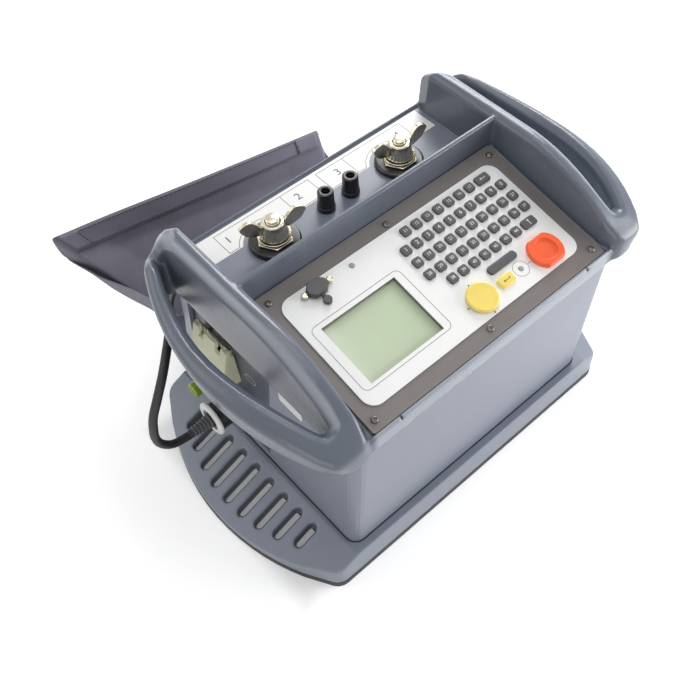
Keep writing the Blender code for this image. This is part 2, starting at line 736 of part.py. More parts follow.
def handle_loop(rim_x, front_y, back_y, front_x, back_x, tip_x, radius):
    """A D-shaped loop in plan, sampled from corner to corner along its four sides."""
    sweep = sagitta_arc((front_x, front_y), (back_x, back_y), tip_x, 40)
    rim_front = fillet((rim_x, 0), (rim_x, front_y), (front_x, front_y), radius, CORNER_STEPS)
    outer_front = fillet((rim_x, front_y), sweep[0], sweep[6], radius, CORNER_STEPS)
    outer_back = fillet(sweep[-7], sweep[-1], (rim_x, back_y), radius, CORNER_STEPS)
    rim_back = fillet((back_x, back_y), (rim_x, back_y), (rim_x, 0), radius, CORNER_STEPS)
    half = CORNER_STEPS // 2
    front_y_reach = outer_front[-1][1]
    back_y_reach = outer_back[0][1]
    bow = [point for point in sweep if front_y_reach < point[1] < back_y_reach]
    rim_side = rim_back[half:] + rim_front[:half + 1]
    front_side = rim_front[half:] + outer_front[:half + 1]
    bow_side = outer_front[half:] + bow + outer_back[:half + 1]
    back_side = outer_back[half:] + rim_back[:half + 1]
    loop = resample(rim_side, RIM_STEPS)
    loop += resample(front_side, END_STEPS)
    loop += resample(bow_side, ARC_STEPS)
    loop += resample(back_side, END_STEPS)
    return loop


def rim_top(y):
    """Height of the rim's crest along the side of the case."""
    fall = RIM_FRONT_FALL * min(0.0, y - RIM_FRONT_FALL_Y) ** 2
    fall += RIM_BACK_FALL * max(0.0, y - RIM_BACK_FALL_Y) ** 2
    return RIM_TOP_Z - fall


def handle_top(point):
    """Height of the handle's upper surface over a point in plan."""
    slope = HANDLE_SLOPE - HANDLE_SLOPE_EASE * min(0.0, point.y - RIM_FRONT_FALL_Y) ** 2
    slope += HANDLE_BACK_EASE * max(0.0, point.y - HANDLE_BACK_EASE_Y) ** 2
    return rim_top(point.y) - slope * max(0.0, point.x - RIM_CREST_X)


def handle_underside(point):
    """Height of the handle's lower surface, which rises away from the case."""
    run = HANDLE_TIP_X - HAND_HOLE_RIM_X
    return frame_low + HANDLE_UNDERSIDE_RISE * max(0.0, point.x - HAND_HOLE_RIM_X) / run


def handle_section(hole, outside):
    """Rounded section of the ring between the hand hole and the outside."""
    lower = outside.copy()
    lower_hole = hole.copy()
    if outside.x < HAND_HOLE_RIM_X:
        weight = (HAND_HOLE_RIM_X - outside.x) / (HAND_HOLE_RIM_X - RIM_INNER_X)
        lower.x -= RIM_DRAFT * min(1.0, weight)
    else:
        undercut = HANDLE_UNDERCUT * min(1.0, (outside.x - HAND_HOLE_RIM_X) / WALL / 4)
        lower += (hole - outside).normalized() * undercut
    corners = [
        (lower_hole, handle_underside(lower_hole), HANDLE_BOTTOM_ROUND),
        (lower, handle_underside(lower), HANDLE_BOTTOM_ROUND),
        (outside, handle_top(outside), HANDLE_TOP_ROUND),
        (hole, handle_top(hole), HANDLE_TOP_ROUND),
    ]
    spots = [Vector((spot.x, spot.y, height)) for spot, height, radius in corners]
    section = []
    for i, (spot, height, radius) in enumerate(corners):
        section += fillet(spots[i - 1], spots[i], spots[(i + 1) % 4], radius, 3)
    return [Vector(point) for point in section]


def handle_mesh(side):
    """The ring-shaped rim and handle at one end, lofted through its sections."""
    hole_loop = handle_loop(
        HAND_HOLE_RIM_X, HAND_HOLE_FRONT_Y, HAND_HOLE_BACK_Y, HAND_HOLE_END_X, HAND_HOLE_END_X,
        HAND_HOLE_TIP_X, HAND_HOLE_RADIUS,
    )
    outside_loop = handle_loop(
        RIM_INNER_X, HANDLE_FRONT_Y, HANDLE_BACK_Y, HANDLE_FRONT_X, HANDLE_BACK_X,
        HANDLE_TIP_X, HANDLE_CORNER_RADIUS,
    )
    bm = bmesh.new()
    rings = []
    for hole, outside in zip(hole_loop, outside_loop):
        section = handle_section(hole, outside)
        rings.append([bm.verts.new((side * point.x, point.y, point.z)) for point in section])
    for ring, following in zip(rings, rings[1:] + rings[:1]):
        for i in range(len(ring)):
            bm.faces.new((ring[i - 1], ring[i], following[i], following[i - 1]))
    return mesh_of(bm, "handle")


for side, name in ((-1, "left_handle"), (1, "right_handle")):
    boolean(top_frame, tool(name, handle_mesh(side)), "UNION")
opening_x = PANEL_HALF_WIDTH - PANEL_LEDGE
opening_front = PANEL_FRONT_Y + PANEL_LEDGE
opening_back = panel_back_y - PANEL_LEDGE
opening = box_mesh("panel_opening", (-opening_x, opening_front, 0), (opening_x, opening_back, RIM_TOP_Z * 2))
boolean(top_frame, tool("panel_opening", opening), "DIFFERENCE")
hollow = box_mesh(
    "trough_hollow",
    (-opening_x, RIB_BACK_Y + WALL, 0),
    (opening_x, TROUGH_BACK_Y - WALL, TROUGH_FLOOR_Z - WALL),
)
boolean(top_frame, tool("trough_hollow", hollow), "DIFFERENCE")
stud_places = [(TERMINAL_CENTRE_X + side * STUD_SPACING / 2, STUD_Y) for side in (-1, 1)]
post_places = [(TERMINAL_CENTRE_X + side * POST_SPACING / 2, POST_Y) for side in (-1, 1)]
holes = [circle(x, y, STUD_RADIUS + FIT, 16) for x, y in stud_places]
holes += [circle(x, y, POST_PIN_RADIUS + FIT, 16) for x, y in post_places]
drill = plate_mesh("terminal_holes", holes, TROUGH_FLOOR_Z - 2 * WALL, TROUGH_FLOOR_Z + WALL)
boolean(top_frame, tool("terminal_holes", drill), "DIFFERENCE")
for side in (-1, 1):
    low = (side * LIP_NOTCH_X - LIP_NOTCH_WIDTH / 2, LIP_FRONT_Y - WALL, PANEL_FRONT_Z - 2 * TROUGH_LIP)
    high = (side * LIP_NOTCH_X + LIP_NOTCH_WIDTH / 2, LIP_FRONT_Y + LIP_NOTCH_DEPTH, PANEL_FRONT_Z + WALL)
    boolean(top_frame, tool("lip_notch", box_mesh("lip_notch", low, high)), "DIFFERENCE")

# Front panel, overlay and what shows through them


def test_outline(margin):
    """Barrel outline of the test button: flat front and back, bowed ends."""
    half_height = TEST_HALF_HEIGHT + margin
    half_width = TEST_HALF_WIDTH + margin
    flat = TEST_FLAT_HALF + margin / 2
    right = sagitta_arc((flat, -half_height), (flat, half_height), half_width, 8)
    left = [(-x, -y) for x, y in right]
    return [(TEST_X + x, TEST_V + y) for x, y in right + left]


def button_loops(margin):
    """Outlines of everything that passes through the panel, grown by a margin."""
    rounding = KEY_CORNER_RADIUS + margin
    return [
        rounded_rectangle(SPACE_BAR_X, SPACE_BAR_V, SPACE_BAR_WIDTH + 2 * margin,
                          SPACE_BAR_HEIGHT + 2 * margin, rounding),
        rounded_rectangle(ENTER_X, ENTER_V, ENTER_WIDTH + 2 * margin, ENTER_HEIGHT + 2 * margin, rounding),
        circle(NAV_X, NAV_V, NAV_RADIUS + margin, 32),
        test_outline(margin),
        circle(POWER_LED_X, POWER_LED_V, LED_RADIUS + margin, 12),
        circle(TEST_LED_X, TEST_LED_V, LED_RADIUS + margin, 12),
        rounded_rectangle(SERIAL_X, SERIAL_V, SERIAL_NOSE_WIDTH + 2 * margin,
                          SERIAL_NOSE_HEIGHT + 2 * margin, rounding),
        circle(SERIAL_X - JACK_SCREW_SPACING / 2, SERIAL_V, JACK_SCREW_RADIUS + margin, 12),
        circle(SERIAL_X + JACK_SCREW_SPACING / 2, SERIAL_V, JACK_SCREW_RADIUS + margin, 12),
    ]


def key_places():
    """Centre, width and height of every key on the mat."""
    places = []
    for row, (first, last) in enumerate(KEY_ROWS):
        v = KEY_TOP_ROW_V - row * KEY_PITCH_V
        for column in range(first, last + 1):
            places.append((KEY_FIRST_X + column * KEY_PITCH_X, v, KEY_SIZE))
        if row in WIDE_KEY_ROWS:
            places.append((KEY_FIRST_X + WIDE_KEY_COLUMN * KEY_PITCH_X, v, WIDE_KEY_WIDTH))
    return places


def key_loops(margin):
    """Outlines of the keys, grown by a margin."""
    rounding = KEY_CORNER_RADIUS + margin
    return [
        rounded_rectangle(x, v, width + 2 * margin, KEY_SIZE + 2 * margin, rounding, 1)
        for x, v, width in key_places()
    ]


key_field = key_places()
mat_left = min(x - width / 2 for x, v, width in key_field) - KEY_MAT_BORDER
mat_right = max(x + width / 2 for x, v, width in key_field) + KEY_MAT_BORDER
mat_front = min(v for x, v, width in key_field) - KEY_SIZE / 2 - KEY_MAT_BORDER
mat_back = max(v for x, v, width in key_field) + KEY_SIZE / 2 + KEY_MAT_BORDER
mat_x = (mat_left + mat_right) / 2
mat_v = (mat_front + mat_back) / 2
window_x = WINDOW_LEFT_X + WINDOW_WIDTH / 2
window_v = WINDOW_FRONT_V + WINDOW_HEIGHT / 2
window_loop = rounded_rectangle(window_x, window_v, WINDOW_WIDTH, WINDOW_HEIGHT, FIT, 1)
panel_loops = [
    rounded_rectangle(0, PANEL_SLOPE_LENGTH / 2, 2 * PANEL_HALF_WIDTH, PANEL_SLOPE_LENGTH, 1.5 * MM, 1),
    window_loop,
    rounded_rectangle(mat_x, mat_v, mat_right - mat_left + 2 * FIT, mat_back - mat_front + 2 * FIT, FIT, 1),
]
panel_loops += button_loops(FIT)
panel_mesh = plate_mesh("front_panel", panel_loops, -PANEL_THICKNESS, 0)
add("front_panel", panel_mesh, PANEL_BROWN, parent=panel_frame)

overlay_low = FIT
overlay_high = overlay_low + OVERLAY_THICKNESS
overlay_height = OVERLAY_BACK_V - OVERLAY_FRONT_V
overlay_v = (OVERLAY_BACK_V + OVERLAY_FRONT_V) / 2
overlay_loops = [
    rounded_rectangle(0, overlay_v, 2 * OVERLAY_HALF_WIDTH, overlay_height, OVERLAY_CORNER_RADIUS, 6),
    window_loop,
]
overlay_loops += key_loops(FIT) + button_loops(FIT)
overlay_mesh = plate_mesh("panel_overlay", overlay_loops, overlay_low, overlay_high)
add("panel_overlay", overlay_mesh, OVERLAY_WHITE, parent=panel_frame)

mat_loop = rounded_rectangle(mat_x, mat_v, mat_right - mat_left, mat_back - mat_front, FIT, 1)
mat_mesh = plate_mesh("key_mat", [mat_loop], -PANEL_THICKNESS, 0)
key_mat = add("key_mat", mat_mesh, KEY_GREY, parent=panel_frame)
key_top = overlay_high + KEY_HEIGHT
keys = plate_mesh("keys", key_loops(0), -PANEL_THICKNESS / 2, key_top)
boolean(key_mat, tool("keys", keys, parent=panel_frame), "UNION")

board_high = -PANEL_THICKNESS - FIT
board_low = board_high - BOARD_THICKNESS
board_left = NAV_X - NAV_RADIUS
board_right = opening_x - KEY_BOARD_MARGIN
board_front = PANEL_LEDGE + KEY_BOARD_MARGIN
board_mesh = box_mesh("key_board", (board_left, board_front, board_low), (board_right, mat_back, board_high))
add("key_board", board_mesh, BOARD_GREEN, parent=panel_frame)

glass_high = -PANEL_THICKNESS - FIT
glass_low = glass_high - GLASS_THICKNESS
glass_left = WINDOW_LEFT_X - GLASS_BORDER
glass_right = WINDOW_LEFT_X + WINDOW_WIDTH + GLASS_BORDER
glass_front = WINDOW_FRONT_V - GLASS_BORDER
glass_back = WINDOW_FRONT_V + WINDOW_HEIGHT + GLASS_BORDER
glass = box_mesh("lcd_glass", (glass_left, glass_front, glass_low), (glass_right, glass_back, glass_high))
add("lcd_glass", glass, DISPLAY_GREEN, parent=panel_frame)
display_low = glass_low - FIT - DISPLAY_DEPTH
display_corner = (glass_right, glass_back, glass_low - FIT)
display = box_mesh("lcd_module", (glass_left, glass_front, display_low), display_corner)
add("lcd_module", display, BOARD_GREEN, parent=panel_frame)

button_low = -BUTTON_DEPTH
button_high = overlay_high + KEY_HEIGHT


def button(name, x, v, loop, high, look):
    """A push button that moves along the panel's normal; its origin is on its travel axis."""
    local = [(px - x, pv - v) for px, pv in loop]
    piece = add(name, plate_mesh(name, [local], button_low, high), look, shift(x, v, 0), panel_frame)
    soften(piece, BUTTON_ROUND, 2, 60)
    return piece


outlines = button_loops(0)
button("space_bar", SPACE_BAR_X, SPACE_BAR_V, outlines[0], button_high, KEY_GREY)
button("enter_key", ENTER_X, ENTER_V, outlines[1], button_high, BUTTON_YELLOW)
test_high = overlay_high + TEST_PROUD
test_button = button("test_button", TEST_X, TEST_V, outlines[3], test_high, BUTTON_ORANGE)
dish = turned_mesh("test_dish", [
    (0, test_high + TEST_DISH_DEPTH),
    (TEST_DISH_RADIUS, test_high + TEST_DISH_DEPTH),
    (TEST_DISH_RADIUS - BUTTON_ROUND, test_high - TEST_DISH_DEPTH),
    (0, test_high - TEST_DISH_DEPTH),
])
boolean(test_button, tool("test_dish", dish, shift(TEST_X, TEST_V, 0), panel_frame), "DIFFERENCE")

gimbal_low = board_high + FIT
gimbal_high = gimbal_low + NAV_GIMBAL_HEIGHT
gimbal = turned_mesh("nav_gimbal", [
    (0, gimbal_high), (NAV_GIMBAL_RADIUS, gimbal_high), (NAV_GIMBAL_RADIUS, gimbal_low), (0, gimbal_low),
], 16)
add("nav_gimbal", gimbal, BLACK_PLASTIC, shift(NAV_X, NAV_V, 0), panel_frame)
nav_high = overlay_high + NAV_PROUD
nav_low = gimbal_high + FIT
nav = turned_mesh("nav_disc", [
    (0, nav_high - BUTTON_ROUND),
    (NAV_RADIUS * 0.7, nav_high - BUTTON_ROUND / 2),
    (NAV_RADIUS - 2 * BUTTON_ROUND, nav_high),
    (NAV_RADIUS - BUTTON_ROUND, nav_high - BUTTON_ROUND / 2),
    (NAV_RADIUS - FIT, nav_high - 2 * BUTTON_ROUND),
    (NAV_RADIUS - FIT, overlay_low),
    (NAV_RADIUS - 2 * BUTTON_ROUND, nav_low + BUTTON_ROUND),
    (NAV_GIMBAL_RADIUS, nav_low),
    (0, nav_low),
], 32)
add("nav_disc", nav, BUTTON_YELLOW, shift(NAV_X, NAV_V, 0), panel_frame)

led_high = overlay_high + LED_PROUD
for name, x, v in (("power_led", POWER_LED_X, POWER_LED_V), ("test_led", TEST_LED_X, TEST_LED_V)):
    lamp = turned_mesh(name, [
        (0, led_high), (LED_RADIUS * 0.6, led_high - LED_PROUD * 0.2),
        (LED_RADIUS * 0.92, led_high - LED_PROUD * 0.6),
        (LED_RADIUS, overlay_high), (LED_RADIUS, -PANEL_THICKNESS), (0, -PANEL_THICKNESS),
    ], 12)
    add(name, lamp, LED_GREY, shift(x, v, 0), panel_frame)

# Serial socket behind the panel, with its jack screws, and the rubber cap over its nose
serial_flange_high = -PANEL_THICKNESS - FIT
serial_flange = rounded_rectangle(0, 0, SERIAL_FLANGE_WIDTH, SERIAL_FLANGE_HEIGHT, KEY_CORNER_RADIUS, 1)
serial_flange_low = serial_flange_high - SERIAL_FLANGE_THICKNESS
serial_mesh = plate_mesh("serial_socket", [serial_flange], serial_flange_low, serial_flange_high)
serial_place = shift(SERIAL_X, SERIAL_V, 0)
serial_socket = add("serial_socket", serial_mesh, STEEL, serial_place, panel_frame)
nose = rounded_rectangle(0, 0, SERIAL_NOSE_WIDTH, SERIAL_NOSE_HEIGHT, KEY_CORNER_RADIUS, 1)
nose_high = overlay_high + SERIAL_NOSE_PROUD
nose_mesh = plate_mesh("serial_nose", [nose], serial_flange_high - SERIAL_DEPTH, nose_high)
boolean(serial_socket, tool("serial_nose", nose_mesh, serial_place, panel_frame), "UNION")
jacks = [circle(side * JACK_SCREW_SPACING / 2, 0, JACK_SCREW_RADIUS, 6) for side in (-1, 1)]
jack_high = overlay_high + JACK_SCREW_PROUD
jack_mesh = plate_mesh("jack_screws", jacks, serial_flange_high - SERIAL_FLANGE_THICKNESS / 2, jack_high)
boolean(serial_socket, tool("jack_screws", jack_mesh, serial_place, panel_frame), "UNION")

cap_low = overlay_high + FIT
half_w = CAP_WIDTH / 2
half_h = CAP_HEIGHT / 2
cap_loop = [
    (half_w, -half_h + CAP_CHAMFER), (half_w, half_h - CAP_CHAMFER), (half_w - CAP_CHAMFER, half_h),
    (-half_w + CAP_CHAMFER, half_h), (-half_w, half_h - CAP_CHAMFER), (-half_w, -half_h + CAP_CHAMFER),
    (-half_w + CAP_CHAMFER, -half_h), (half_w - CAP_CHAMFER, -half_h),
]
cap = add("serial_cap", plate_mesh("serial_cap", [cap_loop], cap_low, cap_low + CAP_THICKNESS), BLACK_RUBBER,
          serial_place, panel_frame)
soften(cap, BUTTON_ROUND, 2, 60)
strap_low = cap_low + BUTTON_ROUND
strap_high = cap_low + CAP_THICKNESS / 2
strap_half = CAP_STRAP_WIDTH / 2
strap = box_mesh("cap_strap", (-strap_half, -CAP_TAB_DISTANCE, strap_low), (strap_half, 0, strap_high))
boolean(cap, tool("cap_strap", strap, serial_place, panel_frame), "UNION")
tab_loop = circle(0, -CAP_TAB_DISTANCE, CAP_TAB_RADIUS, 16)
tab = plate_mesh("cap_tab", [tab_loop], cap_low, cap_low + CAP_THICKNESS * 0.6)
boolean(cap, tool("cap_tab", tab, serial_place, panel_frame), "UNION")
room_width = SERIAL_NOSE_WIDTH + 2 * FIT
room_height = SERIAL_NOSE_HEIGHT + 2 * FIT
nose_room = rounded_rectangle(0, 0, room_width, room_height, KEY_CORNER_RADIUS, 1)
nose_pocket = plate_mesh("cap_pocket", [nose_room], cap_low - CAP_THICKNESS, nose_high + FIT)
boolean(cap, tool("cap_pocket", nose_pocket, serial_place, panel_frame), "DIFFERENCE")

# Current terminals: insulator, stud, washer and wing nut
insulator_low = TROUGH_FLOOR_Z + FIT
insulator_high = insulator_low + INSULATOR_HEIGHT
hex_low = insulator_high + FIT
hex_high = hex_low + STUD_HEX_HEIGHT
washer_low = hex_high + FIT
washer_high = washer_low + WASHER_THICKNESS
nut_low = washer_high + FIT
nut_high = nut_low + WING_NUT_HEIGHT
bore = STUD_RADIUS + RUNNING_FIT


def wing_outline(side):
    """One ear of a wing nut, in the plane of its axis: out along X, up along Y."""
    return [(side * x, z) for x, z in (
        (bore + FIT, WING_NUT_HEIGHT * 0.3),
        (WING_SPAN * 0.5, WING_NUT_HEIGHT * 0.3),
        (WING_SPAN * 0.82, WING_TIP_RISE * 0.5),
        (WING_SPAN, WING_TIP_RISE),
        (WING_SPAN * 0.9, WING_TIP_RISE * 1.2),
        (WING_SPAN * 0.68, WING_TIP_RISE * 1.35),
        (WING_SPAN * 0.5, WING_TIP_RISE * 1.1),
        (WING_SPAN * 0.36, WING_NUT_HEIGHT * 0.85),
        (bore + FIT, WING_NUT_HEIGHT * 0.8),
    )]


for name, (x, y), turn in zip(("c1", "c2"), stud_places, WING_NUT_TURN):
    place = shift(x, y, 0)
    disc = turned_mesh("insulator_" + name, [
        (STUD_RADIUS + FIT, insulator_high),
        (INSULATOR_RADIUS - INSULATOR_CHAMFER, insulator_high),
        (INSULATOR_RADIUS, insulator_high - INSULATOR_CHAMFER),
        (INSULATOR_RADIUS, insulator_low),
        (STUD_RADIUS + FIT, insulator_low),
    ], 32)
    add("insulator_" + name, disc, BLACK_PLASTIC, place)
    shank = turned_mesh("stud_" + name, [
        (0, STUD_TOP_Z), (STUD_RADIUS - STUD_CHAMFER, STUD_TOP_Z), (STUD_RADIUS, STUD_TOP_Z - STUD_CHAMFER),
        (STUD_RADIUS, STUD_TAIL_Z), (0, STUD_TAIL_Z),
    ])
    stud = add("stud_" + name, shank, NICKEL, place)
    hexagon = plate_mesh("stud_hex", [circle(0, 0, STUD_HEX_RADIUS, 6)], hex_low, hex_high)
    boolean(stud, tool("stud_hex", hexagon, place), "UNION")
    ring = turned_mesh("washer_" + name, [
        (bore, washer_high), (WASHER_RADIUS, washer_high), (WASHER_RADIUS, washer_low), (bore, washer_low),
    ], 32)
    add("washer_" + name, ring, NICKEL, place)
    hub = turned_mesh("wing_nut_" + name, [
        (bore, nut_high),
        (WING_NUT_TOP_RADIUS - STUD_CHAMFER, nut_high),
        (WING_NUT_TOP_RADIUS, nut_high - STUD_CHAMFER),
        (WING_NUT_TOP_RADIUS + STUD_CHAMFER, nut_low + WING_NUT_HEIGHT / 2),
        (WING_NUT_BASE_RADIUS, nut_low + STUD_CHAMFER),
        (WING_NUT_BASE_RADIUS, nut_low),
        (bore, nut_low),
    ])
    nut_place = place @ Matrix.Rotation(math.radians(turn), 4, "Z")
    nut = add("wing_nut_" + name, hub, NICKEL, nut_place)
    ears = plate_mesh("ears", [wing_outline(-1), wing_outline(1)], -WING_THICKNESS / 2, WING_THICKNESS / 2)
    ears.transform(shift(0, 0, nut_low) @ Matrix.Rotation(math.pi / 2, 4, "X"))
    ear_tool = tool("ears", ears, nut_place)
    soften(ear_tool, STUD_CHAMFER, 2)
    boolean(nut, ear_tool, "UNION")

# Potential terminals: binding posts with screw caps
post_base_low = TROUGH_FLOOR_Z + FIT
post_base_high = post_base_low + POST_BASE_HEIGHT
cap_base = post_base_high + FIT
cap_top = cap_base + POST_CAP_HEIGHT
pin_top = cap_top - POST_SOCKET_DEPTH
for name, (x, y) in zip(("p1", "p2"), post_places):
    place = shift(x, y, 0)
    body = turned_mesh("post_" + name, [
        (0, pin_top), (POST_PIN_RADIUS, pin_top),
        (POST_PIN_RADIUS, post_base_high), (POST_BASE_RADIUS, post_base_high),
        (POST_BASE_RADIUS, post_base_low), (POST_PIN_RADIUS, post_base_low), (POST_PIN_RADIUS, POST_TAIL_Z),
        (0, POST_TAIL_Z),
    ])
    add("post_" + name, body, BRASS, place)
    screw_cap = turned_mesh("post_cap_" + name, [
        (POST_SOCKET_RADIUS, cap_top),
        (POST_CAP_TOP_RADIUS - STUD_CHAMFER, cap_top),
        (POST_CAP_TOP_RADIUS, cap_top - STUD_CHAMFER),
        (POST_CAP_RADIUS, cap_base),
        (POST_PIN_RADIUS + RUNNING_FIT, cap_base),
        (POST_PIN_RADIUS + RUNNING_FIT, pin_top + FIT),
        (POST_SOCKET_RADIUS, pin_top + FIT),
    ])
    add("post_cap_" + name, screw_cap, BLACK_PLASTIC, place)

# Left end: connector panel set behind the opening in the body's wall
panel_x = -BODY_HALF_LENGTH + WALL + FIT
outward = Matrix(((0, 0, -1, 0), (-1, 0, 0, 0), (0, 1, 0, 0), (0, 0, 0, 1)))
end_frame = bpy.data.objects.new("end_frame", None)
parts.objects.link(end_frame)
end_frame.matrix_local = shift(panel_x, 0, 0) @ outward


def recess_loop(margin):
    """Outline of the opening in the end wall, with slanted front and back edges."""
    return [
        (-RECESS_FRONT_LOW_Y + margin, RECESS_BOTTOM_Z - margin),
        (-RECESS_FRONT_TOP_Y + margin, RECESS_TOP_Z + margin),
        (-RECESS_BACK_TOP_Y - margin, RECESS_TOP_Z + margin),
        (-RECESS_BACK_LOW_Y - margin, RECESS_BOTTOM_Z - margin),
    ]


recess = plate_mesh("recess", [recess_loop(0)], -WALL, 3 * WALL)
boolean(case_body, tool("recess", recess, parent=end_frame), "DIFFERENCE")
switch_loop = rounded_rectangle(-SWITCH_Y, SWITCH_Z, SWITCH_WIDTH, SWITCH_HEIGHT, KEY_CORNER_RADIUS, 1)
side_loops = [
    recess_loop(SIDE_PANEL_LAP),
    rounded_rectangle(
        -SWITCH_Y, SWITCH_Z, SWITCH_WIDTH + 2 * FIT, SWITCH_HEIGHT + 2 * FIT, KEY_CORNER_RADIUS, 1
    ),
    circle(-INLET_Y, INLET_Z, INLET_RADIUS + FIT),
    circle(-EARTH_Y, EARTH_Z, EARTH_PIN_RADIUS + FIT, 12),
]
side_mesh = plate_mesh("side_panel", side_loops, -SIDE_PANEL_THICKNESS, 0)
add("side_panel", side_mesh, CASE_GREY, parent=end_frame)

switch_place = shift(-SWITCH_Y, SWITCH_Z, 0)
switch_inner = rounded_rectangle(0, 0, SWITCH_WIDTH, SWITCH_HEIGHT, KEY_CORNER_RADIUS, 1)
switch_outer = rounded_rectangle(0, 0, SWITCH_WIDTH + 2 * SWITCH_FRAME, SWITCH_HEIGHT + 2 * SWITCH_FRAME,
                                 KEY_CORNER_RADIUS, 2)
switch_mesh = plate_mesh("switch_body", [switch_outer], FIT, FIT + SWITCH_FLANGE)
switch_body = add("switch_body", switch_mesh, BLACK_PLASTIC, switch_place, end_frame)
core = plate_mesh("switch_core", [switch_inner], -SWITCH_DEPTH, FIT + SWITCH_FLANGE / 2)
boolean(switch_body, tool("switch_core", core, switch_place, end_frame), "UNION")
rocker_room = box_mesh(
    "rocker_room",
    (-SWITCH_WIDTH / 2 + SWITCH_FRAME, -SWITCH_HEIGHT / 2 + SWITCH_FRAME, -SWITCH_DEPTH / 2),
    (SWITCH_WIDTH / 2 - SWITCH_FRAME, SWITCH_HEIGHT / 2 - SWITCH_FRAME, SWITCH_DEPTH),
)
boolean(switch_body, tool("rocker_room", rocker_room, switch_place, end_frame), "DIFFERENCE")
rocker_half = SWITCH_WIDTH / 2 - SWITCH_FRAME - 4 * FIT
rocker_high = SWITCH_FLANGE + FIT + ROCKER_PROUD
rocker_low = -SWITCH_DEPTH / 4
rocker_rise = rocker_half * math.tan(math.radians(ROCKER_ANGLE))
rocker_profile = [
    (-rocker_half * 0.8, rocker_low),
    (rocker_half * 0.8, rocker_low),
    (rocker_half * 0.97, SWITCH_FLANGE - rocker_rise / 2),
    (0, rocker_high - rocker_rise),
    (-rocker_half * 0.97, rocker_high - rocker_rise / 3),
]
rocker_mesh = plate_mesh("switch_rocker", [rocker_profile], -SWITCH_HEIGHT / 2 + SWITCH_FRAME + FIT,
                         SWITCH_HEIGHT / 2 - SWITCH_FRAME - FIT)
rocker_mesh.transform(Matrix.Rotation(math.pi / 2, 4, "X"))
rocker = add("switch_rocker", rocker_mesh, BLACK_PLASTIC, switch_place, end_frame)
soften(rocker, BUTTON_ROUND, 2)

# Flip cover over the switch: a thin moulded hood hung from a hinge bracket
hinge_z = COVER_HINGE_Z
hinge_place = shift(-SWITCH_Y, hinge_z, HINGE_STANDOFF)
lug_half = COVER_WIDTH / 4
pin = turned_mesh("cover_hinge", [
    (0, COVER_WIDTH / 2 + HINGE_PIN_RADIUS), (HINGE_PIN_RADIUS, COVER_WIDTH / 2 + HINGE_PIN_RADIUS),
    (HINGE_PIN_RADIUS, -COVER_WIDTH / 2 - HINGE_PIN_RADIUS), (0, -COVER_WIDTH / 2 - HINGE_PIN_RADIUS),
], 12)
pin.transform(Matrix.Rotation(math.pi / 2, 4, "Y"))
hinge = add("cover_hinge", pin, STEEL, hinge_place, end_frame)
for side in (-1, 1):
    bracket = box_mesh(
        "hinge_bracket",
        (side * lug_half - HINGE_BARREL_RADIUS, -HINGE_BARREL_RADIUS, FIT - HINGE_STANDOFF),
        (side * lug_half + HINGE_BARREL_RADIUS, HINGE_BARREL_RADIUS, HINGE_PIN_RADIUS * 0.9),
    )
    boolean(hinge, tool("hinge_bracket", bracket, hinge_place, end_frame), "UNION")
cover_drop = -COVER_HEIGHT + HINGE_BARREL_RADIUS
cover_gap = FIT - HINGE_STANDOFF
hood_profile = [
    (HINGE_BARREL_RADIUS, -HINGE_PIN_RADIUS),
    (HINGE_BARREL_RADIUS, COVER_TOP_DEPTH - HINGE_STANDOFF),
    (cover_drop + COVER_DEPTH / 3, COVER_DEPTH - HINGE_STANDOFF),
    (cover_drop, COVER_DEPTH - HINGE_STANDOFF - COVER_WALL),
    (cover_drop, cover_gap),
]
hood_turn = Matrix(((0, 0, 1, 0), (1, 0, 0, 0), (0, 1, 0, 0), (0, 0, 0, 1)))
hood_mesh = plate_mesh("switch_cover", [hood_profile], -COVER_WIDTH / 2, COVER_WIDTH / 2)
hood_mesh.transform(hood_turn)
cover = add("switch_cover", hood_mesh, COVER_CLEAR, hinge_place, end_frame)
room_profile = [
    (HINGE_BARREL_RADIUS * 3, -COVER_DEPTH),
    (HINGE_BARREL_RADIUS * 3, HINGE_PIN_RADIUS + RUNNING_FIT),
    (-HINGE_BARREL_RADIUS - RUNNING_FIT, HINGE_PIN_RADIUS + RUNNING_FIT),
    (-HINGE_BARREL_RADIUS - RUNNING_FIT, COVER_TOP_DEPTH - HINGE_STANDOFF - COVER_WALL),
    (cover_drop + COVER_DEPTH / 3, COVER_DEPTH - HINGE_STANDOFF - COVER_WALL),
    (cover_drop + COVER_WALL, COVER_DEPTH - HINGE_STANDOFF - 2 * COVER_WALL),
    (cover_drop + COVER_WALL, -COVER_DEPTH),
]
room_half = COVER_WIDTH / 2 - COVER_WALL
room_mesh = plate_mesh("cover_room", [room_profile], -room_half, room_half)
room_mesh.transform(hood_turn)
boolean(cover, tool("cover_room", room_mesh, hinge_place, end_frame), "DIFFERENCE")
pin_room = turned_mesh("pin_room", [
    (0, COVER_WIDTH), (HINGE_PIN_RADIUS + RUNNING_FIT, COVER_WIDTH),
    (HINGE_PIN_RADIUS + RUNNING_FIT, -COVER_WIDTH), (0, -COVER_WIDTH),
], 12)
pin_room.transform(Matrix.Rotation(math.pi / 2, 4, "Y"))
boolean(cover, tool("pin_room", pin_room, hinge_place, end_frame), "DIFFERENCE")
lug_reach = math.hypot(HINGE_BARREL_RADIUS, HINGE_STANDOFF) + RUNNING_FIT
for side in (-1, 1):
    lug_room = box_mesh(
        "lug_room",
        (side * lug_half - HINGE_BARREL_RADIUS - RUNNING_FIT, -lug_reach, -COVER_DEPTH),
        (side * lug_half + HINGE_BARREL_RADIUS + RUNNING_FIT, lug_reach, COVER_DEPTH),
    )
    boolean(cover, tool("lug_room", lug_room, hinge_place, end_frame), "DIFFERENCE")

